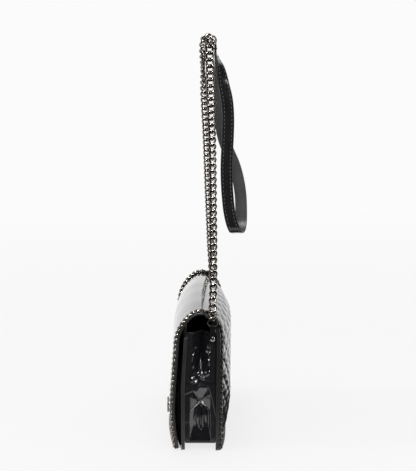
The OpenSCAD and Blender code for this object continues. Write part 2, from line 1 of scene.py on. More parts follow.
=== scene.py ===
import math
import bpy
import numpy as np
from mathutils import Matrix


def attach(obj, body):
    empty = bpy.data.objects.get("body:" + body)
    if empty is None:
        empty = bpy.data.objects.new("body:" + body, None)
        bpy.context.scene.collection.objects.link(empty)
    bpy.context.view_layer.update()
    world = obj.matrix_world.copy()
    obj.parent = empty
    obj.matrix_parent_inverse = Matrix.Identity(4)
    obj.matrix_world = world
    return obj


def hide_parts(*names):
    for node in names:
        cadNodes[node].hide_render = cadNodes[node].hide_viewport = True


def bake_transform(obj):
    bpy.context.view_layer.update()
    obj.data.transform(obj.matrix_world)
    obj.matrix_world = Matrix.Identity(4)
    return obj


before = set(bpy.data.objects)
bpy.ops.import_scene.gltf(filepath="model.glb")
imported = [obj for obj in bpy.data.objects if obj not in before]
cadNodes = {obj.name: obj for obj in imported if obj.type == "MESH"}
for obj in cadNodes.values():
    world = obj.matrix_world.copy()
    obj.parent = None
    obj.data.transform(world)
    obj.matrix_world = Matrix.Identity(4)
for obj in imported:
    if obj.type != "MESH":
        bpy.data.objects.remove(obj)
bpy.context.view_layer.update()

print("frame loaded with", len(cadNodes), "parts")

# all the sizes below are in millimetres, and meshes are written in metres
mm = 0.001

bag = {
    "middleY": 5.0295,            # the model's shift towards the flap's side
    "halfLength": 97.5,
    "swellHalf": 93.2,            # the stuffing swells the faces inside the chain trim
    "rollCentre": (1.0, 109.0),
    "rollRadius": 16.0,
    "hingeTurn": 84.6,            # where the flap starts, in degrees up from the back
    "hinge": (2.5, 124.93),       # y and z of the line that the flap turns about
    "leatherDepth": 2.4,          # the leather's face, under the top of the trim
    "leather": 1.2,
    "seam": 0.1,
    "topSwell": 2.3,
}


# surfaces and meshes

def addObject(name, data):
    piece = bpy.data.objects.new(name, data)
    bpy.context.scene.collection.objects.link(piece)
    return piece


def addMesh(name, points, faces):
    mesh = bpy.data.meshes.new(name)
    mesh.from_pydata(np.asarray(points).tolist(), [], np.asarray(faces).tolist())
    return mesh


def meshPiece(name, points, faces, materials, faceMaterial=None):
    # points in millimetres become one smooth shaded mesh object at the origin
    mesh = addMesh(name, (np.asarray(points).reshape(-1, 3) - [0, bag["middleY"], 0]) * mm, faces)
    for m in materials:
        mesh.materials.append(m)
    if faceMaterial is not None:
        mesh.polygons.foreach_set("material_index", np.asarray(faceMaterial, dtype=np.int32))
    mesh.polygons.foreach_set("use_smooth", np.ones(len(mesh.polygons), dtype=bool))
    mesh.update()
    return addObject(name, mesh)


def dress(piece, node, body):
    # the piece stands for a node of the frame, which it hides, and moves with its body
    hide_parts(node)
    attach(piece, body)


def gridFaces(rows, columns, closeRows=False, closeColumns=False):
    # quads of a grid whose point (i, j) has the number i * columns + j
    i = np.arange(rows if closeRows else rows - 1)
    j = np.arange(columns if closeColumns else columns - 1)
    i, j = np.meshgrid(i, j, indexing="ij")
    row = i * columns
    nextRow = (i + 1) % rows * columns
    nextJ = (j + 1) % columns
    return np.stack([row + j, nextRow + j, nextRow + nextJ, row + nextJ], axis=-1).reshape(-1, 4)


def copyFaces(faces, step, copies):
    # the faces of many like pieces, whose points follow one another in steps of one piece's points
    return (faces[None] + (np.arange(copies) * step)[:, None, None]).reshape(-1, 4)


def unitRows(v):
    return v / np.maximum(np.linalg.norm(v, axis=-1, keepdims=True), 1e-12)


def eased(t):
    # 0 to 1 with a slow start and a slow end: t^2 * (3 - 2 t)
    return t * t * (3 - 2 * t)


def smoothStep(x, low, high):
    # the same while x goes from low to high
    return eased(np.clip((x - low) / (high - low), 0, 1))


def sheetPiece(name, outer, inner, leathers, roundness=0.6, flip=False):
    # a sheet of leather: its outer and inner grids, joined round the rim by a half round edge.
    # ring k of the edge = outer + (inner - outer) * (1 - cos t) / 2 + outward * half thickness * sin t.
    # the leathers are those of its face, its edge and its inside
    edgeSteps = 7
    rows, columns = outer.shape[:2]
    count = rows * columns
    index = np.arange(count).reshape(rows, columns)
    rim = np.concatenate([index[0, :-1], index[:-1, -1], index[-1, :0:-1], index[:0:-1, 0]])
    nearIndex = np.pad(index[1:-1, 1:-1], 1, mode="edge").reshape(-1)
    flatOuter, flatInner = outer.reshape(-1, 3), inner.reshape(-1, 3)
    outward = unitRows(flatOuter[rim] - flatOuter[nearIndex[rim]])
    through = flatInner[rim] - flatOuter[rim]
    thickness = np.linalg.norm(through, axis=1, keepdims=True)
    turns = np.linspace(0, math.pi, edgeSteps)[1:-1]
    rings = [flatOuter[rim] + through * (1 - math.cos(t)) / 2
             + outward * thickness / 2 * roundness * math.sin(t) for t in turns]
    points = np.concatenate([flatOuter, flatInner] + rings)
    faces = gridFaces(rows, columns)
    innerFaces = faces[:, ::-1] + count
    ringLoops = [2 * count + k * len(rim) + np.arange(len(rim)) for k in range(len(turns))]
    loops = [rim] + ringLoops + [rim + count]
    edgeFaces = np.concatenate([np.stack([a, np.roll(a, -1), np.roll(b, -1), b], axis=-1)
                                for a, b in zip(loops[:-1], loops[1:])])
    allFaces = np.concatenate([faces, innerFaces, edgeFaces])
    if flip:
        allFaces = allFaces[:, ::-1]
    kinds = np.repeat([0, 2, 1], [len(faces), len(innerFaces), len(edgeFaces)])
    return meshPiece(name, points, allFaces, leathers, kinds)


def arcLine(centre, radius, start, end, count):
    # an arc's points and the angle of its outward normal, in degrees
    a = np.linspace(start, end, count)
    r = np.radians(a)
    return np.column_stack([centre[0] + radius * np.cos(r), centre[1] + radius * np.sin(r), a])


def straightLine(start, end, angle, count):
    # point = start * (1 - t) + end * t, and one angle for all
    t = np.linspace(0, 1, count)[:, None]
    p = np.array(start) * (1 - t) + np.array(end) * t
    return np.column_stack([p, np.full(count, angle)])


def travel(points):
    # the distance from the first point to each, along the line
    return np.concatenate([[0], np.cumsum(np.linalg.norm(np.diff(points, axis=0), axis=1))])


def runLength(line):
    # the same for an outline, whose first two columns are its points
    return travel(line[:, :2])


def readAt(at, s, values):
    # the columns of values known at distances s, read at other distances
    return np.column_stack([np.interp(at, s, values[:, k]) for k in range(values.shape[1])])


def resample(line, at):
    # the line's columns at the given distances along it
    s = runLength(line)
    keep = np.concatenate([[True], np.diff(s) > 1e-9])
    return readAt(at, s[keep], line[keep])


def swellAt(x, power=2.0):
    # 1 - |x / half|^power, and 0 by the ends
    return np.maximum(0, 1 - np.abs(x / bag["swellHalf"]) ** power)


def faceGrid(line, xs, depth):
    # point = line + (swell * (1 - |x / half|^power) - depth) * normal, over all x and all the line's stations
    out = line[None, :, 3] * swellAt(xs[:, None], line[None, :, 4]) - depth
    a = np.radians(line[None, :, 2])
    x = np.broadcast_to(xs[:, None], out.shape)
    return np.stack([x, line[None, :, 0] + out * np.cos(a), line[None, :, 1] + out * np.sin(a)], axis=-1)


def evenSheet(name, line, xs, depth, thickness, leathers, roundness=0.6, flip=False):
    # a sheet of one thickness that follows an outline at one depth
    outer = faceGrid(line, xs, depth)
    inner = faceGrid(line, xs, depth + thickness)
    return sheetPiece(name, outer, inner, leathers, roundness, flip)


# materials

def setSocket(shader, name, value):
    shader.inputs[name].default_value = value


def addNode(nodes, kind, values=None, operation=None):
    # a shader node with its sockets set
    node = nodes.new("ShaderNode" + kind)
    if operation:
        node.operation = operation
    for name, value in (values or {}).items():
        setSocket(node, name, value)
    return node


def newMaterial(name):
    material = bpy.data.materials.new(name)
    material.use_nodes = True
    return material, material.node_tree.nodes, material.node_tree.links


finish = {
    "mottleScale": 90,            # the noise that a leather's colour and roughness wander with,
    "mottle": 0.25,               # by this share of the colour
    "smear": (0.75, 1.3),         # and between these shares of the roughness
    "wear": 0.5,                  # a metal's roughness and tint wander by these shares
    "tint": 0.2,
    "metalBump": 0.01,
    "coatBend": 1.55,             # indices of refraction
    "leatherBend": 1.5,
    "gussetBend": 1.68,
}


def leatherMaterial(name, colour, roughness, coat, coatRoughness,
                    grainScale, grainHeight, creaseScale, creaseHeight):
    # colour is mottled a little by noise, and fine grain and broad creases are bumped on Object coordinates
    material, nodes, links = newMaterial(name)
    shader = nodes["Principled BSDF"]
    coords = addNode(nodes, "TexCoord").outputs["Object"]
    mottle = addNode(nodes, "TexNoise", {"Scale": finish["mottleScale"], "Detail": 4})
    ramp = addNode(nodes, "MapRange", {"To Min": 1 - finish["mottle"], "To Max": 1 + finish["mottle"]})
    tint = addNode(nodes, "VectorMath", {0: colour}, "SCALE")
    low, high = finish["smear"]
    smear = addNode(nodes, "MapRange", {"To Min": roughness * low, "To Max": roughness * high})
    cells = addNode(nodes, "TexVoronoi", {"Scale": grainScale})
    cellBump = addNode(nodes, "Bump", {"Strength": 1.0, "Distance": grainHeight * mm})
    folds = addNode(nodes, "TexNoise", {"Scale": creaseScale, "Detail": 3})
    foldBump = addNode(nodes, "Bump", {"Strength": 1.0, "Distance": creaseHeight * mm})
    for texture in (mottle, cells, folds):
        links.new(coords, texture.inputs["Vector"])
    links.new(mottle.outputs["Fac"], ramp.inputs["Value"])
    links.new(ramp.outputs["Result"], tint.inputs["Scale"])
    links.new(tint.outputs["Vector"], shader.inputs["Base Color"])
    links.new(mottle.outputs["Fac"], smear.inputs["Value"])
    links.new(smear.outputs["Result"], shader.inputs["Roughness"])
    links.new(cells.outputs["Distance"], cellBump.inputs["Height"])
    links.new(folds.outputs["Fac"], foldBump.inputs["Height"])
    links.new(cellBump.outputs["Normal"], foldBump.inputs["Normal"])
    links.new(foldBump.outputs["Normal"], shader.inputs["Normal"])
    links.new(foldBump.outputs["Normal"], shader.inputs["Coat Normal"])
    setSocket(shader, "Coat Weight", coat)
    setSocket(shader, "Coat Roughness", coatRoughness)
    setSocket(shader, "Coat IOR", finish["coatBend"])
    setSocket(shader, "IOR", finish["leatherBend"])
    return material


def metalMaterial(name, colour, roughness, wearScale=400):
    # plated metal whose roughness and tint wander with noise
    material, nodes, links = newMaterial(name)
    shader = nodes["Principled BSDF"]
    setSocket(shader, "Metallic", 1.0)
    coords = addNode(nodes, "TexCoord")
    noise = addNode(nodes, "TexNoise", {"Scale": wearScale, "Detail": 5})
    low, high = roughness * (1 - finish["wear"]), roughness * (1 + finish["wear"])
    rough = addNode(nodes, "MapRange", {"To Min": low, "To Max": high})
    tint = nodes.new("ShaderNodeMix")
    tint.data_type = "RGBA"
    setSocket(tint, 6, (*[c * (1 - finish["tint"]) for c in colour], 1))
    setSocket(tint, 7, (*[min(1, c * (1 + finish["tint"])) for c in colour], 1))
    bump = addNode(nodes, "Bump", {"Distance": finish["metalBump"] * mm})
    links.new(coords.outputs["Object"], noise.inputs["Vector"])
    for socket in (rough.inputs["Value"], tint.inputs[0], bump.inputs["Height"]):
        links.new(noise.outputs["Fac"], socket)
    links.new(rough.outputs["Result"], shader.inputs["Roughness"])
    links.new(tint.outputs[2], shader.inputs["Base Color"])
    links.new(bump.outputs["Normal"], shader.inputs["Normal"])
    return material


# colour, roughness, coat and its roughness, and scale and height of the grain and of the creases
patentLeather = leatherMaterial("patentLeather", (0.008, 0.008, 0.009), 0.2, 1.0, 0.03, 900, 0.006, 55, 0.10)
gussetLeather = leatherMaterial("gussetLeather", (0.009, 0.009, 0.011), 0.16, 1.0, 0.04, 900, 0.01, 120, 0.25)
setSocket(gussetLeather.node_tree.nodes["Principled BSDF"], "Coat IOR", finish["gussetBend"])
quiltLeather = leatherMaterial("quiltLeather", (0.009, 0.009, 0.01), 0.22, 1.0, 0.05, 900, 0.008, 90, 0.12)
strapLeather = leatherMaterial("strapLeather", (0.013, 0.013, 0.014), 0.26, 0.7, 0.12, 1100, 0.02, 150, 0.10)
liningLeather = leatherMaterial("liningLeather", (0.022, 0.022, 0.024), 0.5, 0.1, 0.3, 1300, 0.03, 200, 0.05)
greyLining = leatherMaterial("greyLining", (0.085, 0.085, 0.09), 0.42, 0.3, 0.25, 1300, 0.03, 200, 0.05)
edgeTape = leatherMaterial("edgeTape", (0.006, 0.006, 0.007), 0.5, 0.0, 0.3, 1500, 0.03, 300, 0.05)
edgeDark = leatherMaterial("edgeDark", (0.014, 0.014, 0.015), 0.42, 0.2, 0.3, 700, 0.03, 220, 0.06)
edgePaint = leatherMaterial("edgePaint", (0.03, 0.03, 0.032), 0.42, 0.3, 0.3, 700, 0.03, 220, 0.06)
gunmetal = metalMaterial("gunmetal", (0.28, 0.257, 0.23), 0.13)
# the flap trim's metal, lighter than the chain's: a painted highlight of the light from above on its arc
gunmetalTrimPaintedLight = metalMaterial("gunmetalTrimPaintedLight", (0.42, 0.385, 0.345), 0.14)
# the back trim's metal: the flap trim's metal painted darker, a painted shade
gunmetalTrimPaintedShade = metalMaterial("gunmetalTrimPaintedShade", (0.1, 0.092, 0.084), 0.22)
gunmetalCast = metalMaterial("gunmetalCast", (0.25, 0.233, 0.217), 0.3, 250)
nickel = metalMaterial("nickel", (0.62, 0.6, 0.57), 0.1)
tabLeather = leatherMaterial("tabLeather", (0.004, 0.004, 0.005), 0.6, 0.0, 0.3, 1500, 0.03, 300, 0.05)
setSocket(tabLeather.node_tree.nodes["Principled BSDF"], "Specular IOR Level", 0.12)
boardFibre = leatherMaterial("boardFibre", (0.035, 0.032, 0.03), 0.85, 0.0, 0.5, 600, 0.05, 100, 0.05)
threadPale = leatherMaterial("threadPale", (0.17, 0.165, 0.16), 0.6, 0.0, 0.5, 2500, 0.02, 900, 0.02)
threadDark = leatherMaterial("threadDark", (0.05, 0.05, 0.05), 0.6, 0.0, 0.5, 2500, 0.02, 900, 0.02)
paintedLining = (liningLeather, edgePaint, liningLeather)
print("materials made")

# outlines of the flap, the back and the front, seen from the end

hingeTurn, rollCentre, rollRadius = bag["hingeTurn"], bag["rollCentre"], bag["rollRadius"]

flap = {
    "grid": (200, 190),           # points along the bag and down the flap
    "liningRows": 120,
    "tailRows": 12,
    "stations": (80, 80, 60, 80),  # of the outline: roll, shoulder, leaning face and curled foot
    "shoulderCentre": (13.3132, 93.2398),
    "shoulderRadius": 36.0,
    "shoulderStart": 128.0,
    "lean": 175.8,
    "leanTop": (-22.5901, 95.8764),
    "leanLow": (-25.959, 50.0),
    "curlCentre": (153.558, 36.8171),
    "curlRadius": 180.0,
    "curlEnd": 191.413,
    "swell": 4.3,
    "footSwell": 3.5,
    "footTop": 50.0,              # the foot's swell starts under this height
    "footTuck": 2.5,              # the lower edge is drawn in again by the snap,
    "tuckLow": -3.0,              # fully at this height and not at all this far above it
    "tuckOver": 13.0,
    "footPower": 1.5,
    "overHinge": 7.0,             # how far the flap's leather runs past the hinge to its seam
    "liningOverHinge": 3.5,
    "bendReach": 5.0,             # the two sheets bend this far to each side of the hinge
    "liningBendReach": 3.0,
    "lining": 0.8,
    "dents": (19.0, 0.10),        # size and height of the slow dents
}


def flapLine():
    # y, z, the normal's angle, the swell and its power along the bag. The swell goes evenly with the angle
    # from topSwell to swell, and the foot adds footSwell * (1 - z / footTop)^power less the tuck
    roll, shoulder, face, curl = flap["stations"]
    start, lean = flap["shoulderStart"], flap["lean"]
    line = np.concatenate([
        arcLine(rollCentre, rollRadius, hingeTurn, start, roll),
        arcLine(flap["shoulderCentre"], flap["shoulderRadius"], start, lean, shoulder),
        straightLine(flap["leanTop"], flap["leanLow"], lean, face),
        arcLine(flap["curlCentre"], flap["curlRadius"], lean, flap["curlEnd"], curl),
    ])
    share = np.clip((line[:, 2] - hingeTurn) / (lean - hingeTurn), 0, 1)
    z = line[:, 1]
    onFace = line[:, 2] >= lean - 1e-6
    free = np.clip((z - flap["tuckLow"]) / flap["tuckOver"], 0, 1)
    foot = flap["footSwell"] * np.maximum(0, 1 - z / flap["footTop"]) ** flap["footPower"] * onFace
    foot = foot * eased(free) - flap["footTuck"] * (1 - free) ** flap["footPower"]
    swell = bag["topSwell"] + (flap["swell"] - bag["topSwell"]) * share + foot
    return np.column_stack([line, swell, np.full(len(line), 2.0)])


back = {
    "grid": (226, 208),
    "facingRows": 100,
    "stations": (60, 60, 140),    # of the outline: roll, rounder arc and straight face
    "radius": 27.0,
    "turn": 45.0,
    "footY": 19.2218,
    "swell": 9.6,
    "rollEase": 2.2,              # power of the swell's growth down the roll
    "footShare": 0.25,            # share of the swell left at the foot, and the height where it fades from
    "footTop": 40.0,
    "fullness": 3.4,              # power of the stuffing's profile along the bag, which grows to this
    "fullFrom": (12, 52),         # from the one distance to the other
    "facing": 1.9,
    "facingFrom": 4.0,            # how far behind the hinge the facing starts
    "seamGap": 0.25,              # between the flap's leather and the back's
    "diamondWidth": 19.0,
    "diamondHeight": 15.5,
    "puff": 2.0,                  # how far each diamond stands over its stitched lines
    "cushionPower": 0.34,
    "plainTop": 13.0,             # the quilting starts this far behind the hinge
    "plainFoot": 4.3,             # and stops this far from the foot
    "plainEase": 2.5,
    "topPuff": 0.85,              # share of the puff at the top, all of it at fullPuff
    "fullPuff": 70.0,
    "dents": (13.0, 0.05),
}
backTurn = math.radians(back["turn"])
backCentre = (rollCentre[0] - (back["radius"] - rollRadius) * math.cos(backTurn),
              rollCentre[1] - (back["radius"] - rollRadius) * math.sin(backTurn))


def backLine():
    # the same columns as flapLine. The swell goes from topSwell to swell by (turn / whole turn)^rollEase,
    # and fades to the foot by footShare
    faceY = backCentre[0] + back["radius"]
    roll, arc, face = back["stations"]
    line = np.concatenate([
        arcLine(rollCentre, rollRadius, hingeTurn, back["turn"], roll),
        arcLine(backCentre, back["radius"], back["turn"], 0, arc),
        straightLine((faceY, backCentre[1]), (back["footY"], 0), 0, face),
    ])
    z = line[:, 1]
    down = (np.maximum(0, hingeTurn - line[:, 2]) / hingeTurn) ** back["rollEase"]
    arcSwell = bag["topSwell"] + (back["swell"] - bag["topSwell"]) * down
    fade = 1 - (1 - back["footShare"]) * np.maximum(0, 1 - z / back["footTop"]) ** 2
    swell = np.where(line[:, 2] > 0, arcSwell, back["swell"] * fade)
    power = 2 + (back["fullness"] - 2) * smoothStep(runLength(line), *back["fullFrom"])
    return np.column_stack([line, swell, power])


front = {
    "grid": (160, 120),
    "baseY": -16.459,
    "height": 100.0,
    "leanFrom": 55.0,
    "lean": 2.5,
    "swell": 5.0,
    "swellMiddle": 52.0,          # height of the fullest part, and how far it swells over and under it
    "swellReach": 62.0,
    "halfLength": 96.5,
    "facing": 1.9,
    "fill": 0.96,                 # share of the room up to the flap that its stuffing takes
    "clearance": 0.4,
    "lift": 0.08,
    "flapBelow": 101,             # the part of the flap's outline that stands before the front
    "snapHeight": 15.6,
    "snapAway": (9, 26),          # it is drawn in by the snap, at the ends and at the top
    "endAway": (0.8, 9),
    "topAway": (66, 94),
    "dents": (21.0, 0.06),
}


def frontLean(z):
    # a straight slope over leanFrom
    return front["lean"] * np.maximum(0, z - front["leanFrom"]) / (front["height"] - front["leanFrom"])


def frontLine():
    # the same columns as flapLine, with a swell of swell * (1 - ((z - middle) / reach)^2)
    z = np.linspace(0, front["height"], front["grid"][1])
    swell = front["swell"] * np.maximum(0, 1 - ((z - front["swellMiddle"]) / front["swellReach"]) ** 2)
    y = front["baseY"] + frontLean(z)
    return np.column_stack([y, z, np.full(len(z), 180.0), swell, np.full(len(z), 2.0)])


def soften(x, s, scale, height):
    # slow dents of stuffed leather: a sum of three crossed waves of unlike lengths and phases
    return height * (np.sin(x / scale * 1.3 + 0.7) * np.sin(s / scale * 1.7 + 0.3)
                     + 0.6 * np.sin(x / scale * 2.9 + s / scale * 1.1 + 2.0)
                     + 0.4 * np.sin(s / scale * 3.7 - x / scale * 2.1 + 4.0))


# the flap: its leather runs over the hinge to a seam on the back's roll

def joinedTopLine(overHinge, count):
    # the back's outline for a short way behind the hinge, then the flap's down to its foot
    tail = resample(backLine(), np.linspace(overHinge, 0, flap["tailRows"]))[:-1]
    whole = np.concatenate([tail, flapLine()])
    run = runLength(whole)[-1]
    return resample(whole, np.linspace(0, run, count)), run


def blendOverHinge(piece):
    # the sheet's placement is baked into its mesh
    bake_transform(piece)


across, down = flap["grid"]
line, flapRun = joinedTopLine(flap["overHinge"], down)
xs = np.linspace(-bag["halfLength"], bag["halfLength"], across)
xGrid, sGrid = np.meshgrid(xs, np.linspace(0, flapRun, down), indexing="ij")
dents = soften(xGrid, sGrid, *flap["dents"]) * np.clip(swellAt(xs), 0, 1)[:, None] ** 0.5
outer = faceGrid(line, xs, bag["leatherDepth"] + dents)
inner = faceGrid(line, xs, bag["leatherDepth"] + bag["leather"])
flapLeather = sheetPiece("flapLeather", outer, inner, (patentLeather, edgePaint, liningLeather))
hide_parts("flap_outer")
blendOverHinge(flapLeather)

line = joinedTopLine(flap["liningOverHinge"], flap["liningRows"])[0]
liningDepth = bag["leatherDepth"] + bag["leather"] + bag["seam"]
flapLining = evenSheet("flapLining", line, xs[::2], liningDepth, flap["lining"], paintedLining)
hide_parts("flap_lining")
blendOverHinge(flapLining)
print("flap made")

# the quilted back

line = backLine()
backRun = runLength(line)[-1]
across, down = back["grid"]
stations = np.linspace(flap["overHinge"] + back["seamGap"], backRun, down)
line = resample(line, stations)
xs = np.linspace(-bag["halfLength"], bag["halfLength"], across)
xGrid, sGrid = np.meshgrid(xs, stations, indexing="ij")
# diamond cells: p and q run across the two families of stitched lines, and each cell is a cushion,
# (|sin(pi p)| * |sin(pi q)|)^power, that stands half over the leather's plain face and half under it
p = xGrid / back["diamondWidth"] + sGrid / back["diamondHeight"]
q = xGrid / back["diamondWidth"] - sGrid / back["diamondHeight"]
cushion = (np.abs(np.sin(math.pi * p)) * np.abs(np.sin(math.pi * q))) ** back["cushionPower"]
inside = (np.clip((bag["swellHalf"] - np.abs(xGrid)) / back["plainEase"], 0, 1)
          * np.clip((sGrid - back["plainTop"]) / back["plainEase"], 0, 1)
          * np.clip((backRun - back["plainFoot"] - sGrid) / back["plainEase"], 0, 1))
downShare = np.clip((sGrid - back["plainTop"]) / (back["fullPuff"] - back["plainTop"]), 0, 1)
strength = back["topPuff"] + (1 - back["topPuff"]) * downShare
puff = back["puff"] * (cushion - 0.5) * inside * strength
outer = faceGrid(line, xs, bag["leatherDepth"] - puff + soften(xGrid, sGrid, *back["dents"]))
inner = faceGrid(line, xs, bag["leatherDepth"] + bag["leather"])
backLeather = sheetPiece("quiltedBack", outer, inner, (quiltLeather, edgeDark, liningLeather), flip=True)
dress(backLeather, "back_panel", "bag")

line = resample(backLine(), np.linspace(back["facingFrom"], backRun, back["facingRows"]))
darkLining = (liningLeather, edgeDark, liningLeather)
backFacing = evenSheet("backFacing", line, xs[::3], liningDepth, back["facing"], darkLining, 0.2, True)
dress(backFacing, "back_facing", "bag")

pocket = {"halfWidth": 58.0, "low": 20.0, "top": 82.0, "thickness": 0.8, "columns": 60}
line = backLine()
line = line[(line[:, 1] >= pocket["low"]) & (line[:, 1] <= pocket["top"]) & (line[:, 2] == 0)]
pocketXs = np.linspace(-pocket["halfWidth"], pocket["halfWidth"], pocket["columns"])
depth = liningDepth + back["facing"] + bag["seam"]
innerPocket = evenSheet("innerPocket", line, pocketXs, depth, pocket["thickness"], paintedLining, flip=True)
dress(innerPocket, "inner_pocket", "bag")
print("back made")

# the front under the flap

xs = np.linspace(-front["halfLength"], front["halfLength"], front["grid"][0])
line = frontLine()
xGrid, zGrid = np.meshgrid(xs, line[:, 1], indexing="ij")
outer = faceGrid(line, xs, 0.0)
# its stuffing fills most of the room up to the flap's lining, but not at the snap, the ends and the top
under = flapLine()
under = under[under[:, 1] < front["flapBelow"]][::-1]
underZ = under[:, 1]
flapInside = -(liningDepth + flap["lining"]) * np.cos(np.radians(under[:, 2]))
underY = (np.interp(zGrid, underZ, under[:, 0]) + np.interp(zGrid, underZ, flapInside)
          - np.interp(zGrid, underZ, under[:, 3]) * swellAt(xGrid))
fill = (front["fill"] * smoothStep(np.hypot(xGrid, zGrid - front["snapHeight"]), *front["snapAway"])
        * smoothStep(front["halfLength"] - np.abs(xGrid), *front["endAway"])
        * (1 - smoothStep(zGrid, *front["topAway"])))
room = np.minimum(0, underY + front["clearance"] - outer[..., 1])
outer[..., 1] += room * fill + soften(xGrid, zGrid, *front["dents"]) + front["lift"]
inner = faceGrid(line, xs, bag["leather"])
frontLeather = sheetPiece("frontPanel", outer, inner, (patentLeather, edgePaint, liningLeather), 0.12, True)
dress(frontLeather, "front_panel", "bag")
depth = bag["leather"] + bag["seam"]
frontFacing = evenSheet("frontFacing", line, xs[::2], depth, front["facing"], paintedLining, 0.2, True)
dress(frontFacing, "front_facing", "bag")
print("front made")

# the gussets: an inward fold whose creases cross

gusset = {
    "grid": (330, 130),
    "x": 95.0,
    "thickness": 1.6,
    "frontY": -13.059,
    "backY": 13.4218,
    "flange": 4.0,
    "edgeEase": 0.18,             # the creases fade out over this share of the half width
    "fold": 11.0,                 # depth of the fold in its upper part
    "low": 7.7,
    "top": 104.0,
    "sharp": 6.0,                 # sharpness of the creases between facets
    "crossing": 42.0,
    "crossDepth": 6.5,
    "rim": 3.0,                   # slope of the facets' rise at the flanges, in depths
    "legFall": 8.4,               # how far the creases fall from the crossing to the sides
    "legStep": (-0.7, 0.4),       # the step from the facets down to the base
    "facet": 16.0,                # height and slope of the hanging facet over the crossing
    "facetSlope": 0.5,
    "sideSlope": 0.9,             # share of the depth that a side facet loses on its way to the side
    "hornSlopes": (1.3, 1.5),     # and the folds over it, at the front and at the back
    "sideTops": (3.6, 6.8),       # how far the side facets rise to the sides
    "sideEase": 1.3,
    "wall": 0.6,                  # slope of the side walls under the creases, and its factor at the back
    "backWall": 1.7,
    "lowSlope": 0.16,             # of the base's triangle, which stops at lowTop
    "lowTop": 20.0,
    "lowSharp": 0.9,
    "lowWave": (0.22, 0.9, 0.6, 4.0),  # height, pitch, phase and reach of the base's wavy top
    "highSlope": 0.12,            # the base deepens again from highFrom on
    "highFrom": 30.0,
    "lean": 0.1,                  # the base leans in by this share of its height
    "crease": (0.2, 0.6),         # height and half width of the crossing's creases, and of the horns'
    "hornCrease": (0.35, 0.4),
    "shallow": 1.2,               # depth of the upper fold at its ridge, and the power of its section
    "foldPower": 0.62,
    "spikeTop": 86.0,             # the narrow facet at the bottom of the fold's valley
    "spikeOver": 4.0,
    "spikeSlope": 0.37,
    "spikeSide": 0.1,
    "spikeSharp": 5.0,
    "outMost": (0.3, 0.4),        # how far folds and buckles may stand outside the flange's plane
    # buckles: place across and up, half length, turn from upright in degrees, half width and height outward
    "buckles": [
        (-6.0, 84.0, 4.0, -35, 1.6, 1.9), (-4.6, 89.0, 2.6, -20, 1.1, 1.2), (5.2, 85.5, 3.0, 70, 1.6, 1.9),
        (7.4, 83.5, 2.2, 30, 1.2, 1.3), (6.4, 79.0, 3.0, 35, 1.5, 1.7), (-5.4, 75.5, 3.0, -30, 1.9, 1.5),
        (-4.2, 70.0, 4.2, -22, 2.1, 1.6), (-1.2, 66.0, 3.0, 5, 1.5, 1.8), (1.8, 64.0, 2.4, 50, 1.4, 1.7),
        (5.6, 67.5, 4.6, -48, 1.6, 1.7), (-6.8, 62.5, 4.2, -55, 1.8, 1.7), (-4.2, 58.4, 3.6, -30, 1.4, 1.5),
        (3.0, 77.0, 5.0, 22, 1.2, 0.8), (-7.6, 92.0, 5.0, 15, 1.3, 0.6), (5.0, 93.0, 5.0, -20, 1.5, 0.6),
    ],
}
# the fan of small folds under the crossing
fan = {
    "height": 0.5,
    "change": (0.25, 1.1, 1.0),   # height, pitch and phase of its change across
    "pitch": 1.9,
    "spread": 0.012,              # the folds draw together above spreadFrom
    "spreadFrom": 30.0,
    "waver": 0.7,
    "waverPitch": 0.28,
    "phase": 0.5,
    "foot": (16, 21),
    "footBow": 0.2,
    "top": (-5, -1.0),            # counted from the crossing's creases
    "half": 0.66,                 # share of the half width
    "sideEase": 0.2,
}
# the slanting ridge between the lower facets and the upper fold
ridgeLine = {
    "drop": 2.5,                  # under the hanging facet's top
    "slant": 0.42,
    "notch": (2.2, -3.4, 1.8),    # depth, place across and half width
    "fall": 0.4,
    "fallFrom": 4.5,
    "deepen": (-1, 24),           # over it, the fold grows to its full depth from the one to the other
    "ease": 0.9,
}


def softLeast(planes, sharp):
    # the least of several heights with rounded creases: -log(sum of exp(-sharp * h)) / sharp
    stack = np.stack(np.broadcast_arrays(*planes))
    least = stack.min(axis=0)
    return least - np.log(np.exp(-sharp * (stack - least)).sum(axis=0)) / sharp


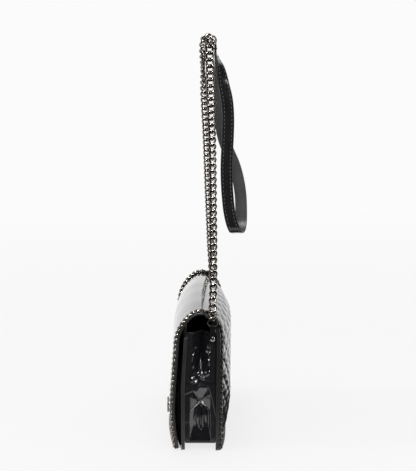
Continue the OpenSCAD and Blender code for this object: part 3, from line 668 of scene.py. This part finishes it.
def gussetLower(z, v, u, half, inFold, lowRise):
    # depth below the ridge: the base's triangle, two side facets and the facet over the crossing, all flat,
    # and the fan of folds. u is the share |v| / half
    deep, sharp = gusset["crossDepth"], gusset["sharp"]
    over = z - gusset["crossing"]
    legs = over + gusset["legFall"] * u
    hornSlope = np.where(v > 0, gusset["hornSlopes"][1], gusset["hornSlopes"][0])
    sideTop = np.where(v > 0, gusset["sideTops"][1], gusset["sideTops"][0])
    edge = deep * gusset["rim"] * (1 - u)
    cap = deep - gusset["facetSlope"] * over + 0 * u
    wedge = softLeast([deep * (1 - hornSlope * u), cap, edge], sharp)
    sides = softLeast([deep * (1 - gusset["sideSlope"] * u), cap, edge], sharp)
    above = sides + (wedge - sides) * smoothStep(over - sideTop * u, 0.0, gusset["sideEase"])
    waveHeight, wavePitch, wavePhase, waveReach = gusset["lowWave"]
    wave = waveHeight * np.sin(wavePitch * v + wavePhase) * np.exp(-((z - gusset["lowTop"]) / waveReach) ** 2)
    base = gusset["lowSlope"] * lowRise + gusset["highSlope"] * np.maximum(0, z - gusset["highFrom"]) + wave
    wall = gusset["wall"] * np.where(v > 0, gusset["backWall"], 1.0) * half * (1 - u)
    below = softLeast([wall, base + 0 * u], sharp)
    horns = gusset["facetSlope"] * over - deep * hornSlope * u
    below, above = np.maximum(below, 0), np.maximum(above, 0)
    lower = below + (above - below) * smoothStep(legs, *gusset["legStep"])
    height, width = gusset["crease"]
    lower = lower - height * np.exp(-(legs / width) ** 2) * inFold
    height, width = gusset["hornCrease"]
    lower = lower - height * np.exp(-(horns / width) ** 2) * inFold * (over > 0)
    # the fan: (height + change * sin) * sin(pitch * v, spread and wavering with z), faded at its four sides
    waves = np.sin(v * fan["pitch"] * (1 + fan["spread"] * (z - fan["spreadFrom"]))
                   + fan["waver"] * np.sin(z * fan["waverPitch"]) + fan["phase"])
    change, changePitch, changePhase = fan["change"]
    flutes = (fan["height"] + change * np.sin(changePitch * v + changePhase)) * waves
    flutes = flutes * smoothStep(z - fan["footBow"] * v ** 2, *fan["foot"])
    flutes = flutes * (1 - smoothStep(legs, *fan["top"])) * smoothStep(fan["half"] - u, 0, fan["sideEase"])
    return np.maximum(lower + flutes, -gusset["outMost"][0])


def gussetGrid(inset):
    # point = (end - inset - depth - lean * rise, y, z), over y from the front to the back and z up
    rows, columns = gusset["grid"]
    z = np.linspace(gusset["low"], gusset["top"], rows)[:, None]
    t = np.linspace(0, 1, columns)[None, :]
    lean = frontLean(z)
    y = (gusset["frontY"] + lean) * (1 - t) + gusset["backY"] * t
    left = gusset["frontY"] + lean + gusset["flange"]
    right = gusset["backY"] - gusset["flange"]
    half = (right - left) / 2
    v = y - (left + right) / 2
    u = np.minimum(np.abs(v) / half, 1.0)
    inFold = smoothStep(1 - u, 0.0, gusset["edgeEase"])
    lowRise = softLeast([z + 0 * v, 0 * v + gusset["lowTop"]], gusset["lowSharp"]) - gusset["low"]
    lower = gussetLower(z, v, u, half, inFold, lowRise)
    # above the ridge the fold deepens to its full depth, with a narrow facet at the bottom of its valley
    notchDepth, notchAt, notchHalf = ridgeLine["notch"]
    ridge = (gusset["crossing"] + gusset["facet"] - ridgeLine["drop"] + ridgeLine["slant"] * v
             - notchDepth * np.exp(-((v - notchAt) / notchHalf) ** 2)
             - ridgeLine["fall"] * np.maximum(0, v - ridgeLine["fallFrom"]) ** 2)
    deepen = smoothStep(z, ridge + ridgeLine["deepen"][0], ridge + ridgeLine["deepen"][1])
    foldDepth = gusset["shallow"] + (gusset["fold"] - gusset["shallow"]) * deepen
    upper = foldDepth * (1 - u ** gusset["foldPower"])
    spike = gusset["fold"] - gusset["spikeSlope"] * (gusset["spikeTop"] - z) - gusset["spikeSide"] * np.abs(v)
    inSpike = z < gusset["spikeTop"] + gusset["spikeOver"]
    upper = softLeast([upper, np.where(inSpike, spike, np.inf)], gusset["spikeSharp"])
    share = smoothStep(z, ridge - ridgeLine["ease"], ridge + ridgeLine["ease"])
    depth = lower * (1 - share) + upper * share
    # each buckle lifts by height * exp(-(across / width)^2 - (along / length)^2)
    for place, height, length, turn, width, lift in gusset["buckles"]:
        a = math.radians(turn)
        dv = v - place
        dz = z - height
        along = dz * math.cos(a) - dv * math.sin(a)
        across = dv * math.cos(a) + dz * math.sin(a)
        depth = depth - lift * np.exp(-(across / width) ** 2 - (along / length) ** 2) * inFold
    x = gusset["x"] - inset - np.maximum(depth, -gusset["outMost"][1]) - gusset["lean"] * lowRise
    return np.stack(np.broadcast_arrays(x, y, z + 0 * y), axis=-1)


for side, name, node in ((1, "gussetNear", "gusset_near"), (-1, "gussetFar", "gusset_far")):
    outer = gussetGrid(0.0) * [side, 1, 1]
    inner = gussetGrid(gusset["thickness"]) * [side, 1, 1]
    piece = sheetPiece(name, outer, inner, (gussetLeather, edgeTape, liningLeather), flip=side > 0)
    dress(piece, node, "bag")
print("gussets made")

# curb links, for the strap's strands and, smaller, for the trim

curb = {
    "wire": 1.6,
    "pitch": 5.8,
    "play": 0.2,
    "twist": 14.0,
    "slope": 30.0,
    "broad": 1.1,                 # the strands' links are broader by this than their sloping sides make them
    "strandWire": 2.0,
    "strandGrid": (11, 12),       # points of a quarter's arc and round the wire
}


def linkLoop(halfHeight, samples):
    # a quarter of the loop: half a sloping side, then an arc up to the crown.
    # the other three are its turns by half a circle
    psi, delta = math.radians(curb["twist"]), math.radians(curb["slope"])
    q = math.sin(psi) * math.tan(delta)
    w = halfHeight / (math.sin(psi) / math.tan(delta) + q + math.sqrt(q * q + 1))
    knee = np.array([w * math.cos(psi), w * math.sin(psi), w * math.sin(psi) / math.tan(delta)])
    rise = np.array([0, math.sin(delta), math.cos(delta)])
    chord = np.array([0, 0, halfHeight]) - knee
    crownWay = 2 * (chord @ rise) / (chord @ chord) * chord - rise
    turn = math.acos(rise @ crownWay)
    radius = np.linalg.norm(chord) / (2 * math.sin(turn / 2))
    across = np.cross(rise, crownWay)
    across /= np.linalg.norm(across)
    inward = np.cross(across, rise)
    centre = knee + radius * inward
    a = np.linspace(0, turn, samples)[:, None]
    arc = centre - radius * np.cos(a) * inward + radius * np.sin(a) * rise
    quarter = np.concatenate([[[knee[0], 0, 0]], arc])
    spun = quarter * [-1, -1, 1]
    flipped = quarter * [1, -1, -1]
    spunFlipped = spun * [1, -1, -1]
    return np.concatenate([quarter[:-1], spun[::-1][:-1], spunFlipped[:-1], flipped[::-1][:-1]])


def linkTube(loop, wire, sides):
    # a round wire carried along the closed loop, its section turned to face the loop's middle
    tangent = unitRows(np.roll(loop, -1, axis=0) - np.roll(loop, 1, axis=0))
    radial = unitRows(loop - np.sum(loop * tangent, axis=1, keepdims=True) * tangent)
    other = np.cross(tangent, radial)
    t = np.linspace(0, 2 * math.pi, sides, endpoint=False)
    ring = np.cos(t)[None, :, None] * radial[:, None, :] + np.sin(t)[None, :, None] * other[:, None, :]
    return loop[:, None, :] + wire / 2 * ring


def placeLinks(name, tube, centres, wide, thin, along, material):
    # each link = centre + x * wide + y * thin + z * along
    rows, columns = tube.shape[:2]
    frames = np.stack([wide, thin, along], axis=1)
    points = np.einsum("pk,nkj->npj", tube.reshape(-1, 3), frames) + centres[:, None, :]
    faces = copyFaces(gridFaces(rows, columns, True, True), rows * columns, len(centres))
    return meshPiece(name, points, faces, [material])


def smoothRoute(points, steps):
    # a curve that passes through all the points, each span a cubic of its four neighbours
    points = np.array(points, dtype=float)
    padded = np.concatenate([[2 * points[0] - points[1]], points, [2 * points[-1] - points[-2]]])
    t = (np.arange(steps) / steps)[:, None]
    spans = []
    for a, b, c, d in zip(padded[:-3], padded[1:-2], padded[2:-1], padded[3:]):
        square = 2 * a - 5 * b + 4 * c - d
        cube = 3 * b - a - 3 * c + d
        spans.append(0.5 * (2 * b + (c - a) * t + square * t ** 2 + cube * t ** 3))
    return np.concatenate(spans + [points[-1:]])


# routes of the strands, and the turn of their links in degrees at distances along them
strand = {
    "steps": 12,                  # between two points of a route
    "nearRoute": [
        (101.2, 11, 118.0), (101.9, 11, 124), (102.0, 11, 132), (100.8, 11.3, 139), (96.9, 11.6, 151),
        (80.5, 11.4, 205), (64, 10.8, 262), (50.5, 9.4, 310), (43.5, 8.5, 338), (42, 8.3, 350),
        (42, 9.2, 354.5)],
    "farRoute": [
        (-100.4, 11, 118.0), (-102.6, 10.9, 122.5), (-103.3, 10.6, 129), (-102.2, 10.3, 138),
        (-97.2, 9.5, 150), (-62, 7.4, 206), (-31, 5.5, 263), (2, 2.6, 322), (14, 2.4, 338), (21, 2.6, 350),
        (23.5, 4.4, 356.5), (24, 7.6, 357.0), (24, 9.6, 353.0)],
    "nearTurns": [
        (0, -32), (14, -30), (24, -44), (36, -28), (50, -42), (70, -30), (90, -42), (150, -42), (180, -25),
        (208, 0), (241, -8)],
    "farTurns": [(0, -32), (14, -30), (24, -20), (38, 0), (200, 0), (235, -80), (267, -145)],
}


def strandPiece(name, route, turns, node):
    # joints lie at equal steps of the route, and a link spans each two of them, turned about its chord
    curve = smoothRoute(route, strand["steps"])
    s = travel(curve)
    count = round(s[-1] / curb["pitch"])
    pitch = s[-1] / count
    joints = readAt(np.arange(count + 1) * pitch, s, curve)
    along = unitRows(joints[1:] - joints[:-1])
    flat = unitRows(np.array([0, 1, 0]) - along[:, 1:2] * along)
    side = np.cross(along, flat)
    turn = np.radians(np.interp((np.arange(count) + 0.5) * pitch, *zip(*turns)))[:, None]
    wide = np.cos(turn) * flat + np.sin(turn) * side
    thin = np.cross(along, wide)
    samples, sides = curb["strandGrid"]
    loop = linkLoop(pitch / 2 + (curb["strandWire"] + curb["play"]) / 2, samples) * [curb["broad"], 1, 1]
    tube = linkTube(loop, curb["strandWire"], sides)
    piece = placeLinks(name, tube, (joints[1:] + joints[:-1]) / 2, wide, thin, along, gunmetal)
    dress(piece, node, "strap")


strandPiece("strandNear", strand["nearRoute"], strand["nearTurns"], "chain_near")
strandPiece("strandFar", strand["farRoute"], strand["farTurns"], "chain_far")
print("strands made")

trim = {
    "scale": 0.8,                 # the trim's links are the strap's links at this size
    "wire": 1.2,                  # with a thicker wire
    "edge": 95.6,                 # the trim's middle, along the bag
    "middleDepth": 1.0,
    "starts": {"flap": 0.6, "back": 0.8},  # how far from the hinge the side runs start
    "stop": 1.9,                  # the side runs stop this far from the foot,
    "lower": 2.9,                 # and the lower run lies this far over it
    "lowerInset": 4.6,
    "steps": (0.2, 0.5),          # a link's direction is read this far to both sides of it, up and along
    "grid": (5, 6),
    "tapeGrid": (6, 110),
    "tapeHalf": 1.75,
    "tapeDepths": (1.0, 2.32),
    "tapeEnds": {"flap": (0.4, 0.2), "back": (0.6, 0.6)},  # how far the tape stops short of hinge and foot
}
trimPitch = curb["pitch"] * trim["scale"]
trimLoop = linkLoop(curb["pitch"] / 2 + (curb["wire"] + curb["play"]) / 2, trim["grid"][0])
trimTube = linkTube(trimLoop, curb["wire"] * trim["wire"], trim["grid"][1]) * trim["scale"]


def linkWays(along, normal):
    # the directions of links that lie flat on a surface
    along = unitRows(along)
    thin = unitRows(normal - np.sum(normal * along, axis=1, keepdims=True) * along)
    return np.cross(thin, along), thin, along


def sideRun(line, x, start, end):
    # links along the outline at one x, from one distance along it to another
    count = round((end - start) / trimPitch)
    at = np.linspace(start, end, count, endpoint=False) + (end - start) / count / 2
    st = resample(line, at)
    a = np.radians(st[:, 2])
    normal = np.column_stack([np.zeros(count), np.cos(a), np.sin(a)])
    centre = np.column_stack([np.full(count, x), st[:, :2]]) - trim["middleDepth"] * normal
    ahead, behind = [resample(line, at + step) for step in (trim["steps"][0], -trim["steps"][0])]
    return centre, *linkWays(np.column_stack([np.zeros(count), ahead[:, :2] - behind[:, :2]]), normal)


def lowerRun(line, station):
    # links along x at one station of the outline, following its swell
    half = bag["halfLength"] - trim["lowerInset"]
    count = round(2 * half / trimPitch)
    x = (np.arange(count) + 0.5) / count * 2 * half - half
    st = resample(line, np.array([station]))
    steps = (0, trim["steps"][1], -trim["steps"][1])
    centre, ahead, behind = [faceGrid(st, x + step, trim["middleDepth"])[:, 0] for step in steps]
    a = math.radians(st[0, 2])
    return centre, *linkWays(ahead - behind, np.broadcast_to([0, math.cos(a), math.sin(a)], centre.shape))


def trimBed(name, line, x, start, end, body):
    # the black tape that the links are sewn on
    columns, rows = trim["tapeGrid"]
    stations = resample(line, np.linspace(start, end, rows))
    across = x + np.linspace(-trim["tapeHalf"], trim["tapeHalf"], columns)
    outer, inner = [faceGrid(stations, across, depth) for depth in trim["tapeDepths"]]
    bed = sheetPiece(name, outer, inner, (edgeTape, edgeTape, edgeTape))
    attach(bed, body)


# each edged sheet's outline, the body that it moves with and the metal of its links: one trim metal, painted
# lighter on the flap as painted highlight and painted darker on the back as painted shade
edged = {"flap": (flapLine(), "flap", gunmetalTrimPaintedLight), "back": (backLine(), "bag", gunmetalTrimPaintedShade)}
for sheet, (line, body, metal) in edged.items():
    start, end = trim["starts"][sheet], runLength(line)[-1]
    runs = {
        "Near": sideRun(line, trim["edge"], start, end - trim["stop"]),
        "Far": sideRun(line, -trim["edge"], start, end - trim["stop"]),
        "Lower": lowerRun(line, end - trim["lower"]),
    }
    for place, run in runs.items():
        piece = placeLinks(sheet + "Trim" + place, trimTube, *run, metal)
        dress(piece, sheet + "_trim_" + place.lower(), body)
for place, side in (("Near", 1), ("Far", -1)):
    for sheet, (line, body, metal) in edged.items():
        start, short = trim["tapeEnds"][sheet]
        trimBed(sheet + "Tape" + place, line, side * trim["edge"], start, runLength(line)[-1] - short, body)
print("trim made")

# the leather strap: down its near ply, round its bight and up its far ply

strap = {
    "width": 10.6,
    "leather": 1.2,
    "lining": 0.9,
    "seam": 0.1,
    "crown": 0.12,                # the leather's face rises by this along its middle
    "edgeTurn": 0.8,              # the cut edges' half turns, as a share of a true half circle
    "section": (13, 7),           # points of a face and of a half turn
    "layerSteps": 10,             # between two points of the route
    "seamSteps": 24,
    "stitchFromEdge": 2.1,
    "stitchPitch": 3.5,
    "stitchLength": 2.2,
    "stitchFromEnd": 4.0,
    "thread": 0.5,
    "stitchGrid": (7, 6),
    "stitchEnd": 0.98,
    "stitchBow": (0.12, 0.3),     # rise at its middle and fall to its ends, in threads
    "route": [  # x, y, z and the turn of the width from y towards x
        (42, 13.4489, 343.135, -88), (42.6, 15.4, 337, -74), (43.6, 17.8, 330, -53), (44.5, 20.6, 316, -24),
        (45, 23.6, 302, -10), (45, 24.7, 288, -6), (45, 24.6, 274, -5), (45, 24, 260, -4),
        (45, 23.4, 246, -2), (45, 23.5, 232, 0), (45, 24.3, 218, 0), (45, 25.8, 204, 0), (44.6, 28.2, 193, 0),
        (41.8, 30.8, 186.4, 0), (37.5, 32.8, 184, 0), (32.5, 34.4, 184, 0), (28.2, 35.9, 186.4, 0),
        (25.4, 36.8, 193, 0), (25, 36.8, 204, 0), (25, 36.2, 216, 0), (25, 34.2, 229, 0), (25, 30.4, 243, 0),
        (25, 24.8, 256, 0), (25, 20.6, 268, 0), (25, 18.4, 282, 0), (25, 17.6, 300, 6), (24.8, 16.8, 314, 24),
        (24.4, 15.6, 328, 60), (24, 14.4, 337, 82), (24, 13.4489, 343.135, 88)],
}
strapMiddle = (strap["leather"] + strap["seam"] + strap["lining"]) / 2


def strapFrames(steps):
    # points of the strap's middle, and the directions along it, across it and out of the loop
    curve = smoothRoute(strap["route"], steps)
    place, turn = curve[:, :3], np.radians(curve[:, 3])
    way = unitRows(np.gradient(place, axis=0))
    across = np.column_stack([np.sin(turn), np.cos(turn), np.zeros(len(turn))])
    across = unitRows(across - np.sum(across * way, axis=1, keepdims=True) * way)
    return place, way, across, np.cross(way, across)


def strapLayer(name, near, far, crown, faceLeather, node):
    # a ribbon between two depths, counted from the outside of the loop. Its section is a flat oval:
    # half turns round its two cut edges, and an outer face that rises by crown * (1 - v^2)
    place, _, across, out = strapFrames(strap["layerSteps"])
    half, thick = strap["width"] / 2, (far - near) / 2
    centreDepth = strapMiddle - (near + far) / 2
    turnWidth = thick * strap["edgeTurn"]
    v = np.linspace(-1, 1, strap["section"][0])
    flatPart = v * (half - turnWidth)
    t = np.linspace(math.pi / 2, -math.pi / 2, strap["section"][1])[1:-1]
    right = np.column_stack([half - turnWidth + turnWidth * np.cos(t), thick * np.sin(t)])
    top = np.column_stack([flatPart, thick + crown * (1 - v ** 2)])
    bottom = np.column_stack([flatPart[::-1], np.full(len(v), -thick)])
    section = np.concatenate([top, right, bottom, -right])
    points = (place[:, None, :] + section[None, :, :1] * across[:, None, :]
              + (centreDepth + section[None, :, 1:]) * out[:, None, :])
    rows, columns = points.shape[:2]
    column = np.tile(np.arange(columns), rows - 1)
    onEdge = column % (len(v) + len(t)) >= len(v) - 1
    faces = gridFaces(rows, columns, False, True)[:, ::-1]
    dress(meshPiece(name, points, faces, [faceLeather, edgePaint], onEdge), node, "shoulder_strap")


top, low = strap["leather"], strap["leather"] + strap["seam"]
strapLayer("strapLeather", 0.0, top, strap["crown"], strapLeather, "strap_leather")
strapLayer("strapLining", low, low + strap["lining"], 0.0, greyLining, "strap_lining")


def stitchPiece(name, centres, along, out, material):
    # each stitch is a bent capsule, thread * sqrt(1 - t^4) thick, whose ends dip into the leather
    rows, sides = strap["stitchGrid"]
    thread = strap["thread"]
    rise, fall = strap["stitchBow"]
    t = np.linspace(-strap["stitchEnd"], strap["stitchEnd"], rows)[:, None]
    a = np.linspace(0, 2 * math.pi, sides, endpoint=False)[None, :]
    radius = thread / 2 * (1 - t ** 4) ** 0.5
    local = np.stack(np.broadcast_arrays(
        t * strap["stitchLength"] / 2,
        radius * np.cos(a),
        radius * np.sin(a) + (rise - fall * t ** 2) * thread,
    ), axis=-1).reshape(-1, 3)
    frames = np.stack([along, np.cross(out, along), out], axis=1)
    points = np.einsum("pk,nkj->npj", local, frames) + centres[:, None, :]
    firstCap = np.array([[0, 5, 4, 3], [0, 3, 2, 1]])
    lastCap = np.array([[0, 1, 2, 3], [0, 3, 4, 5]]) + (rows - 1) * sides
    faces = np.concatenate([gridFaces(rows, sides, False, True), firstCap, lastCap])[:, ::-1]
    return meshPiece(name, points, copyFaces(faces, rows * sides, len(centres)), [material])


place, way, across, out = strapFrames(strap["seamSteps"])
s = travel(place)
at = np.arange(strap["stitchFromEnd"], s[-1] - strap["stitchFromEnd"], strap["stitchPitch"])
seamWay = across * (strap["width"] / 2 - strap["stitchFromEdge"])
# two rows on each face, a little over the leather
for name, face, lift, thread in (("Outer", 1, 0.1, threadPale), ("Inner", -1, 0.02, threadDark)):
    seams = [place + edge * seamWay + out * face * (strapMiddle + lift) for edge in (-1, 1)]
    centres = np.concatenate([readAt(at, s, seam) for seam in seams])
    alongs = np.tile(unitRows(readAt(at, s, way)), (2, 1))
    outs = np.tile(face * unitRows(readAt(at, s, out)), (2, 1))
    stitches = stitchPiece("strapStitches" + name, centres, alongs, outs, thread)
    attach(stitches, "shoulder_strap")
print("strap made")

# clasp: a round plate with a beaded rim on the flap

clasp = {
    "height": 15.0,
    "faceY": -29.04,
    "profile": [  # radius and height over the seat
        (0.01, -0.9), (6.9, -0.9), (7.35, -0.6), (7.4, 0.6), (7.1, 1.15), (6.4, 1.35), (5.7, 1.3), (5.3, 1.5),
        (4.2, 1.75), (2.4, 2.05), (0.9, 2.15), (0.01, 2.16)],
    "sides": 64,
    "bead": 0.62,
    "beadGrid": (6, 10),
    "beads": 34,
    "beadRing": 6.62,
    "beadSeat": 1.3,
    "beadTurns": (-0.5, math.pi / 2 - 0.08),  # a bead's outline, from under its seat to its top
}


def turnedPoints(profile, count):
    # profile rows are radius and height over the seat, and the axis points to -y
    t = np.linspace(0, 2 * math.pi, count, endpoint=False)
    r, h = profile[:, :1], profile[:, 1:]
    return np.stack(np.broadcast_arrays(r * np.cos(t), -h + 0 * t, r * np.sin(t)), axis=-1).reshape(-1, 3)


plate = turnedPoints(np.array(clasp["profile"]), clasp["sides"])
plateFaces = gridFaces(len(clasp["profile"]), clasp["sides"], False, True)
a = np.linspace(*clasp["beadTurns"], clasp["beadGrid"][0])
bead = turnedPoints(np.column_stack([np.cos(a), np.sin(a)]) * clasp["bead"], clasp["beadGrid"][1])
around = np.linspace(0, 2 * math.pi, clasp["beads"], endpoint=False)
seats = np.column_stack([clasp["beadRing"] * np.cos(around), np.full(len(around), -clasp["beadSeat"]),
                         clasp["beadRing"] * np.sin(around)])
beadPoints = (bead[None] + seats[:, None, :]).reshape(-1, 3)
beadFaces = copyFaces(gridFaces(*clasp["beadGrid"], False, True), len(bead), len(around)) + len(plate)
points = np.concatenate([plate, beadPoints]) + [0, clasp["faceY"], clasp["height"]]
faces = np.concatenate([plateFaces, beadFaces])[:, ::-1]
dress(meshPiece("claspPlate", points, faces, [gunmetalCast]), "clasp_button", "flap")
print("clasp made")

# the CAD's own pieces that stay, in better finishes

finishes = {
    "base_panel": patentLeather, "base_board": boardFibre, "base_lining": liningLeather,
    "gusset_lining_near": liningLeather, "gusset_lining_far": liningLeather,
    "ring_tab_near": tabLeather, "ring_tab_far": tabLeather, "tab_rivets": nickel,
    "snap_cup": gunmetalCast, "snap_magnet": boardFibre, "snap_stud": gunmetalCast,
    "ring_near": gunmetal, "ring_far": gunmetal, "upper_rings": gunmetal,
    "strap_ends": strapLeather, "strap_rivets": nickel,
}
for node, material in finishes.items():
    mesh = cadNodes[node].data
    mesh.materials.clear()
    mesh.materials.append(material)
print("finishes set")

# stage: pale floor, soft lamps, camera. Its sizes are in metres

stage = {
    "floorHalf": 40.0,
    "floorColour": 0.9,
    "floorRoughness": 0.6,
    "background": 0.965,
    "floorGlow": 1.0,
    "floorWhite": (0.76, 0.93),   # how much of the floor's look is plain pale, by the bag and far away
    "floorReach": (0.4, 1.5),     # distances from the bag for the two
    "worldLight": 0.45,
    "roomRadius": 2.3,            # dark drapes round the set, seen in reflections only
    "openHalf": 52.0,             # half width and height of their opening behind the bag, in degrees
    "openHeight": 52.0,
    "drapeGrid": (91, 24),
    "drapeRise": (-2, 90),
    "drapeColour": 0.012,
    "cardFrom": 0.165,            # x where the card before the bag starts
    # the card behind the bag is a painted shadow of the floor, seen in reflections only
    "reflectedShadowCard": (-0.12, 0.085, 0.022),  # the other card's lowest and highest x, and its lowest y
    "cardHeight": 0.001,
}


def grey(level):
    return (level, level, level, 1)


def sumOfRays(nodes, links, names):
    # 1 for a ray of any of these kinds, else 0
    rays = addNode(nodes, "LightPath")
    total = rays.outputs[names[0]]
    for name in names[1:]:
        add = addNode(nodes, "Math", operation="ADD")
        add.use_clamp = True
        links.new(total, add.inputs[0])
        links.new(rays.outputs[name], add.inputs[1])
        total = add.outputs[0]
    return total


h = stage["floorHalf"]
floorMesh = addMesh("floor", [(-h, -h, 0), (h, -h, 0), (h, h, 0), (-h, h, 0)], [(0, 1, 2, 3)])
floor = addObject("floor", floorMesh)
material, nodes, links = newMaterial("paleFloor")
shader = nodes["Principled BSDF"]
setSocket(shader, "Base Color", grey(stage["floorColour"]))
setSocket(shader, "Roughness", stage["floorRoughness"])
glow = addNode(nodes, "Emission", {"Color": grey(stage["floorGlow"])})
mix = addNode(nodes, "MixShader")
spot = addNode(nodes, "NewGeometry")
distance = addNode(nodes, "VectorMath", operation="LENGTH")
white = addNode(nodes, "MapRange", {"From Min": stage["floorReach"][0], "From Max": stage["floorReach"][1],
                                    "To Min": stage["floorWhite"][0], "To Max": stage["floorWhite"][1]})
share = addNode(nodes, "Math", operation="MULTIPLY")
links.new(spot.outputs["Position"], distance.inputs[0])
links.new(distance.outputs["Value"], white.inputs["Value"])
links.new(sumOfRays(nodes, links, ["Is Camera Ray", "Is Glossy Ray"]), share.inputs[0])
links.new(white.outputs["Result"], share.inputs[1])
links.new(share.outputs[0], mix.inputs[0])
links.new(shader.outputs[0], mix.inputs[1])
links.new(glow.outputs[0], mix.inputs[2])
links.new(mix.outputs[0], nodes["Material Output"].inputs[0])
floorMesh.materials.append(material)

# dark cards on the floor, seen only in reflections: one before the bag, just under the picture's lower edge,
# and one behind its back, which is a painted shadow of the floor beside the bag
far, lift = stage["roomRadius"], stage["cardHeight"]
frontX = stage["cardFrom"]
sideFrom, sideTo, sideY = stage["reflectedShadowCard"]
cardPoints = [(frontX, -far, lift), (far, -far, lift), (far, far, lift), (frontX, far, lift),
              (sideFrom, sideY, lift), (sideTo, sideY, lift), (sideTo, far, lift), (sideFrom, far, lift)]
cardMesh = addMesh("floorCard", cardPoints, [(0, 1, 2, 3), (4, 5, 6, 7)])
floorCard = addObject("floorCard", cardMesh)

# drapes: a half ball of cloth round the set, without the faces in the opening towards -X
turns = np.radians(np.linspace(-180, 180, stage["drapeGrid"][0]))
rises = np.radians(np.linspace(*stage["drapeRise"], stage["drapeGrid"][1]))
turnGrid, riseGrid = np.meshgrid(turns, rises, indexing="ij")
level = np.cos(riseGrid)
ball = np.stack([level * np.cos(turnGrid), level * np.sin(turnGrid), np.sin(riseGrid)], axis=-1)
ball = ball * stage["roomRadius"]
faces = gridFaces(len(turns), len(rises))
middleTurn = np.degrees(turnGrid.reshape(-1)[faces]).mean(axis=1)
middleRise = np.degrees(riseGrid.reshape(-1)[faces]).mean(axis=1)
opening = (np.abs(middleTurn) > 180 - stage["openHalf"]) & (middleRise < stage["openHeight"])
drapesMesh = addMesh("drapes", ball.reshape(-1, 3), faces[~opening])
drapes = addObject("drapes", drapesMesh)
material, nodes, links = newMaterial("darkCloth")
setSocket(nodes["Principled BSDF"], "Base Color", grey(stage["drapeColour"]))
setSocket(nodes["Principled BSDF"], "Roughness", 1.0)
drapesMesh.materials.append(material)
cardMesh.materials.append(material)
for dark in (drapes, floorCard):
    dark.visible_camera = False
    dark.visible_diffuse = False
    dark.visible_shadow = False
    dark.visible_transmission = False

world = bpy.data.worlds.new("studio")
bpy.context.scene.world = world
world.use_nodes = True
nodes, links = world.node_tree.nodes, world.node_tree.links
plain = nodes["Background"]
setSocket(plain, "Color", grey(1))
setSocket(plain, "Strength", stage["worldLight"])
white = addNode(nodes, "Background", {"Color": grey(stage["background"]), "Strength": 1.0})
mix = addNode(nodes, "MixShader")
links.new(sumOfRays(nodes, links, ["Is Camera Ray", "Is Glossy Ray", "Is Transmission Ray"]), mix.inputs[0])
links.new(plain.outputs[0], mix.inputs[1])
links.new(white.outputs[0], mix.inputs[2])
links.new(mix.outputs[0], nodes["World Output"].inputs[0])

lamps = {  # place, aim, size in metres and power in watts
    "topLamp": ((-0.1, -0.1, 1.6), (0, 0, 0.1), 1.3, 8.3),
    "softBox": ((1.25, 0.1, 1.45), (0, 0, 0.15), 0.9, 4.0),
    "keyLamp": ((1.2, -0.3, 1.15), (0, 0, 0.12), 0.44, 25.0),
    "leftSpark": ((1.1, -1.3, 1.2), (0, 0, 0.12), 0.16, 1.8),
    "rightSpark": ((0.9, 1.4, 0.9), (0, 0, 0.12), 0.16, 1.0),
    "frontSpark": ((1.5, 0.5, 0.8), (0, 0, 0.12), 0.16, 1.2),
}
for name, (place, aim, size, power) in lamps.items():
    data = bpy.data.lights.new(name, "AREA")
    data.shape = "DISK"
    data.size = size
    data.energy = power
    lamp = addObject(name, data)
    lamp.location = place
    x, y, z = np.array(aim) - np.array(place)
    lamp.rotation_euler = (math.atan2(math.hypot(x, y), -z), 0, math.atan2(y, x) - math.pi / 2)
    lamp.visible_diffuse = name != "keyLamp"  # the key lamp only draws highlights

view = {
    "place": (1.3975, (7 - bag["middleY"]) * mm, 0.396),
    "pitch": 9.0,
    "lens": 117.7,                # and the frame's width, in millimetres
    "frame": 36.0,
    "clip": 200,
}
cameraData = bpy.data.cameras.new("camera")
cameraData.lens = view["lens"]
cameraData.sensor_width = view["frame"]
cameraData.clip_end = view["clip"]
camera = addObject("camera", cameraData)
camera.location = view["place"]
camera.rotation_euler = (math.radians(90 - view["pitch"]), 0, math.radians(90))
bpy.context.scene.camera = camera
bpy.context.scene.view_settings.view_transform = "Standard"
print("stage set")
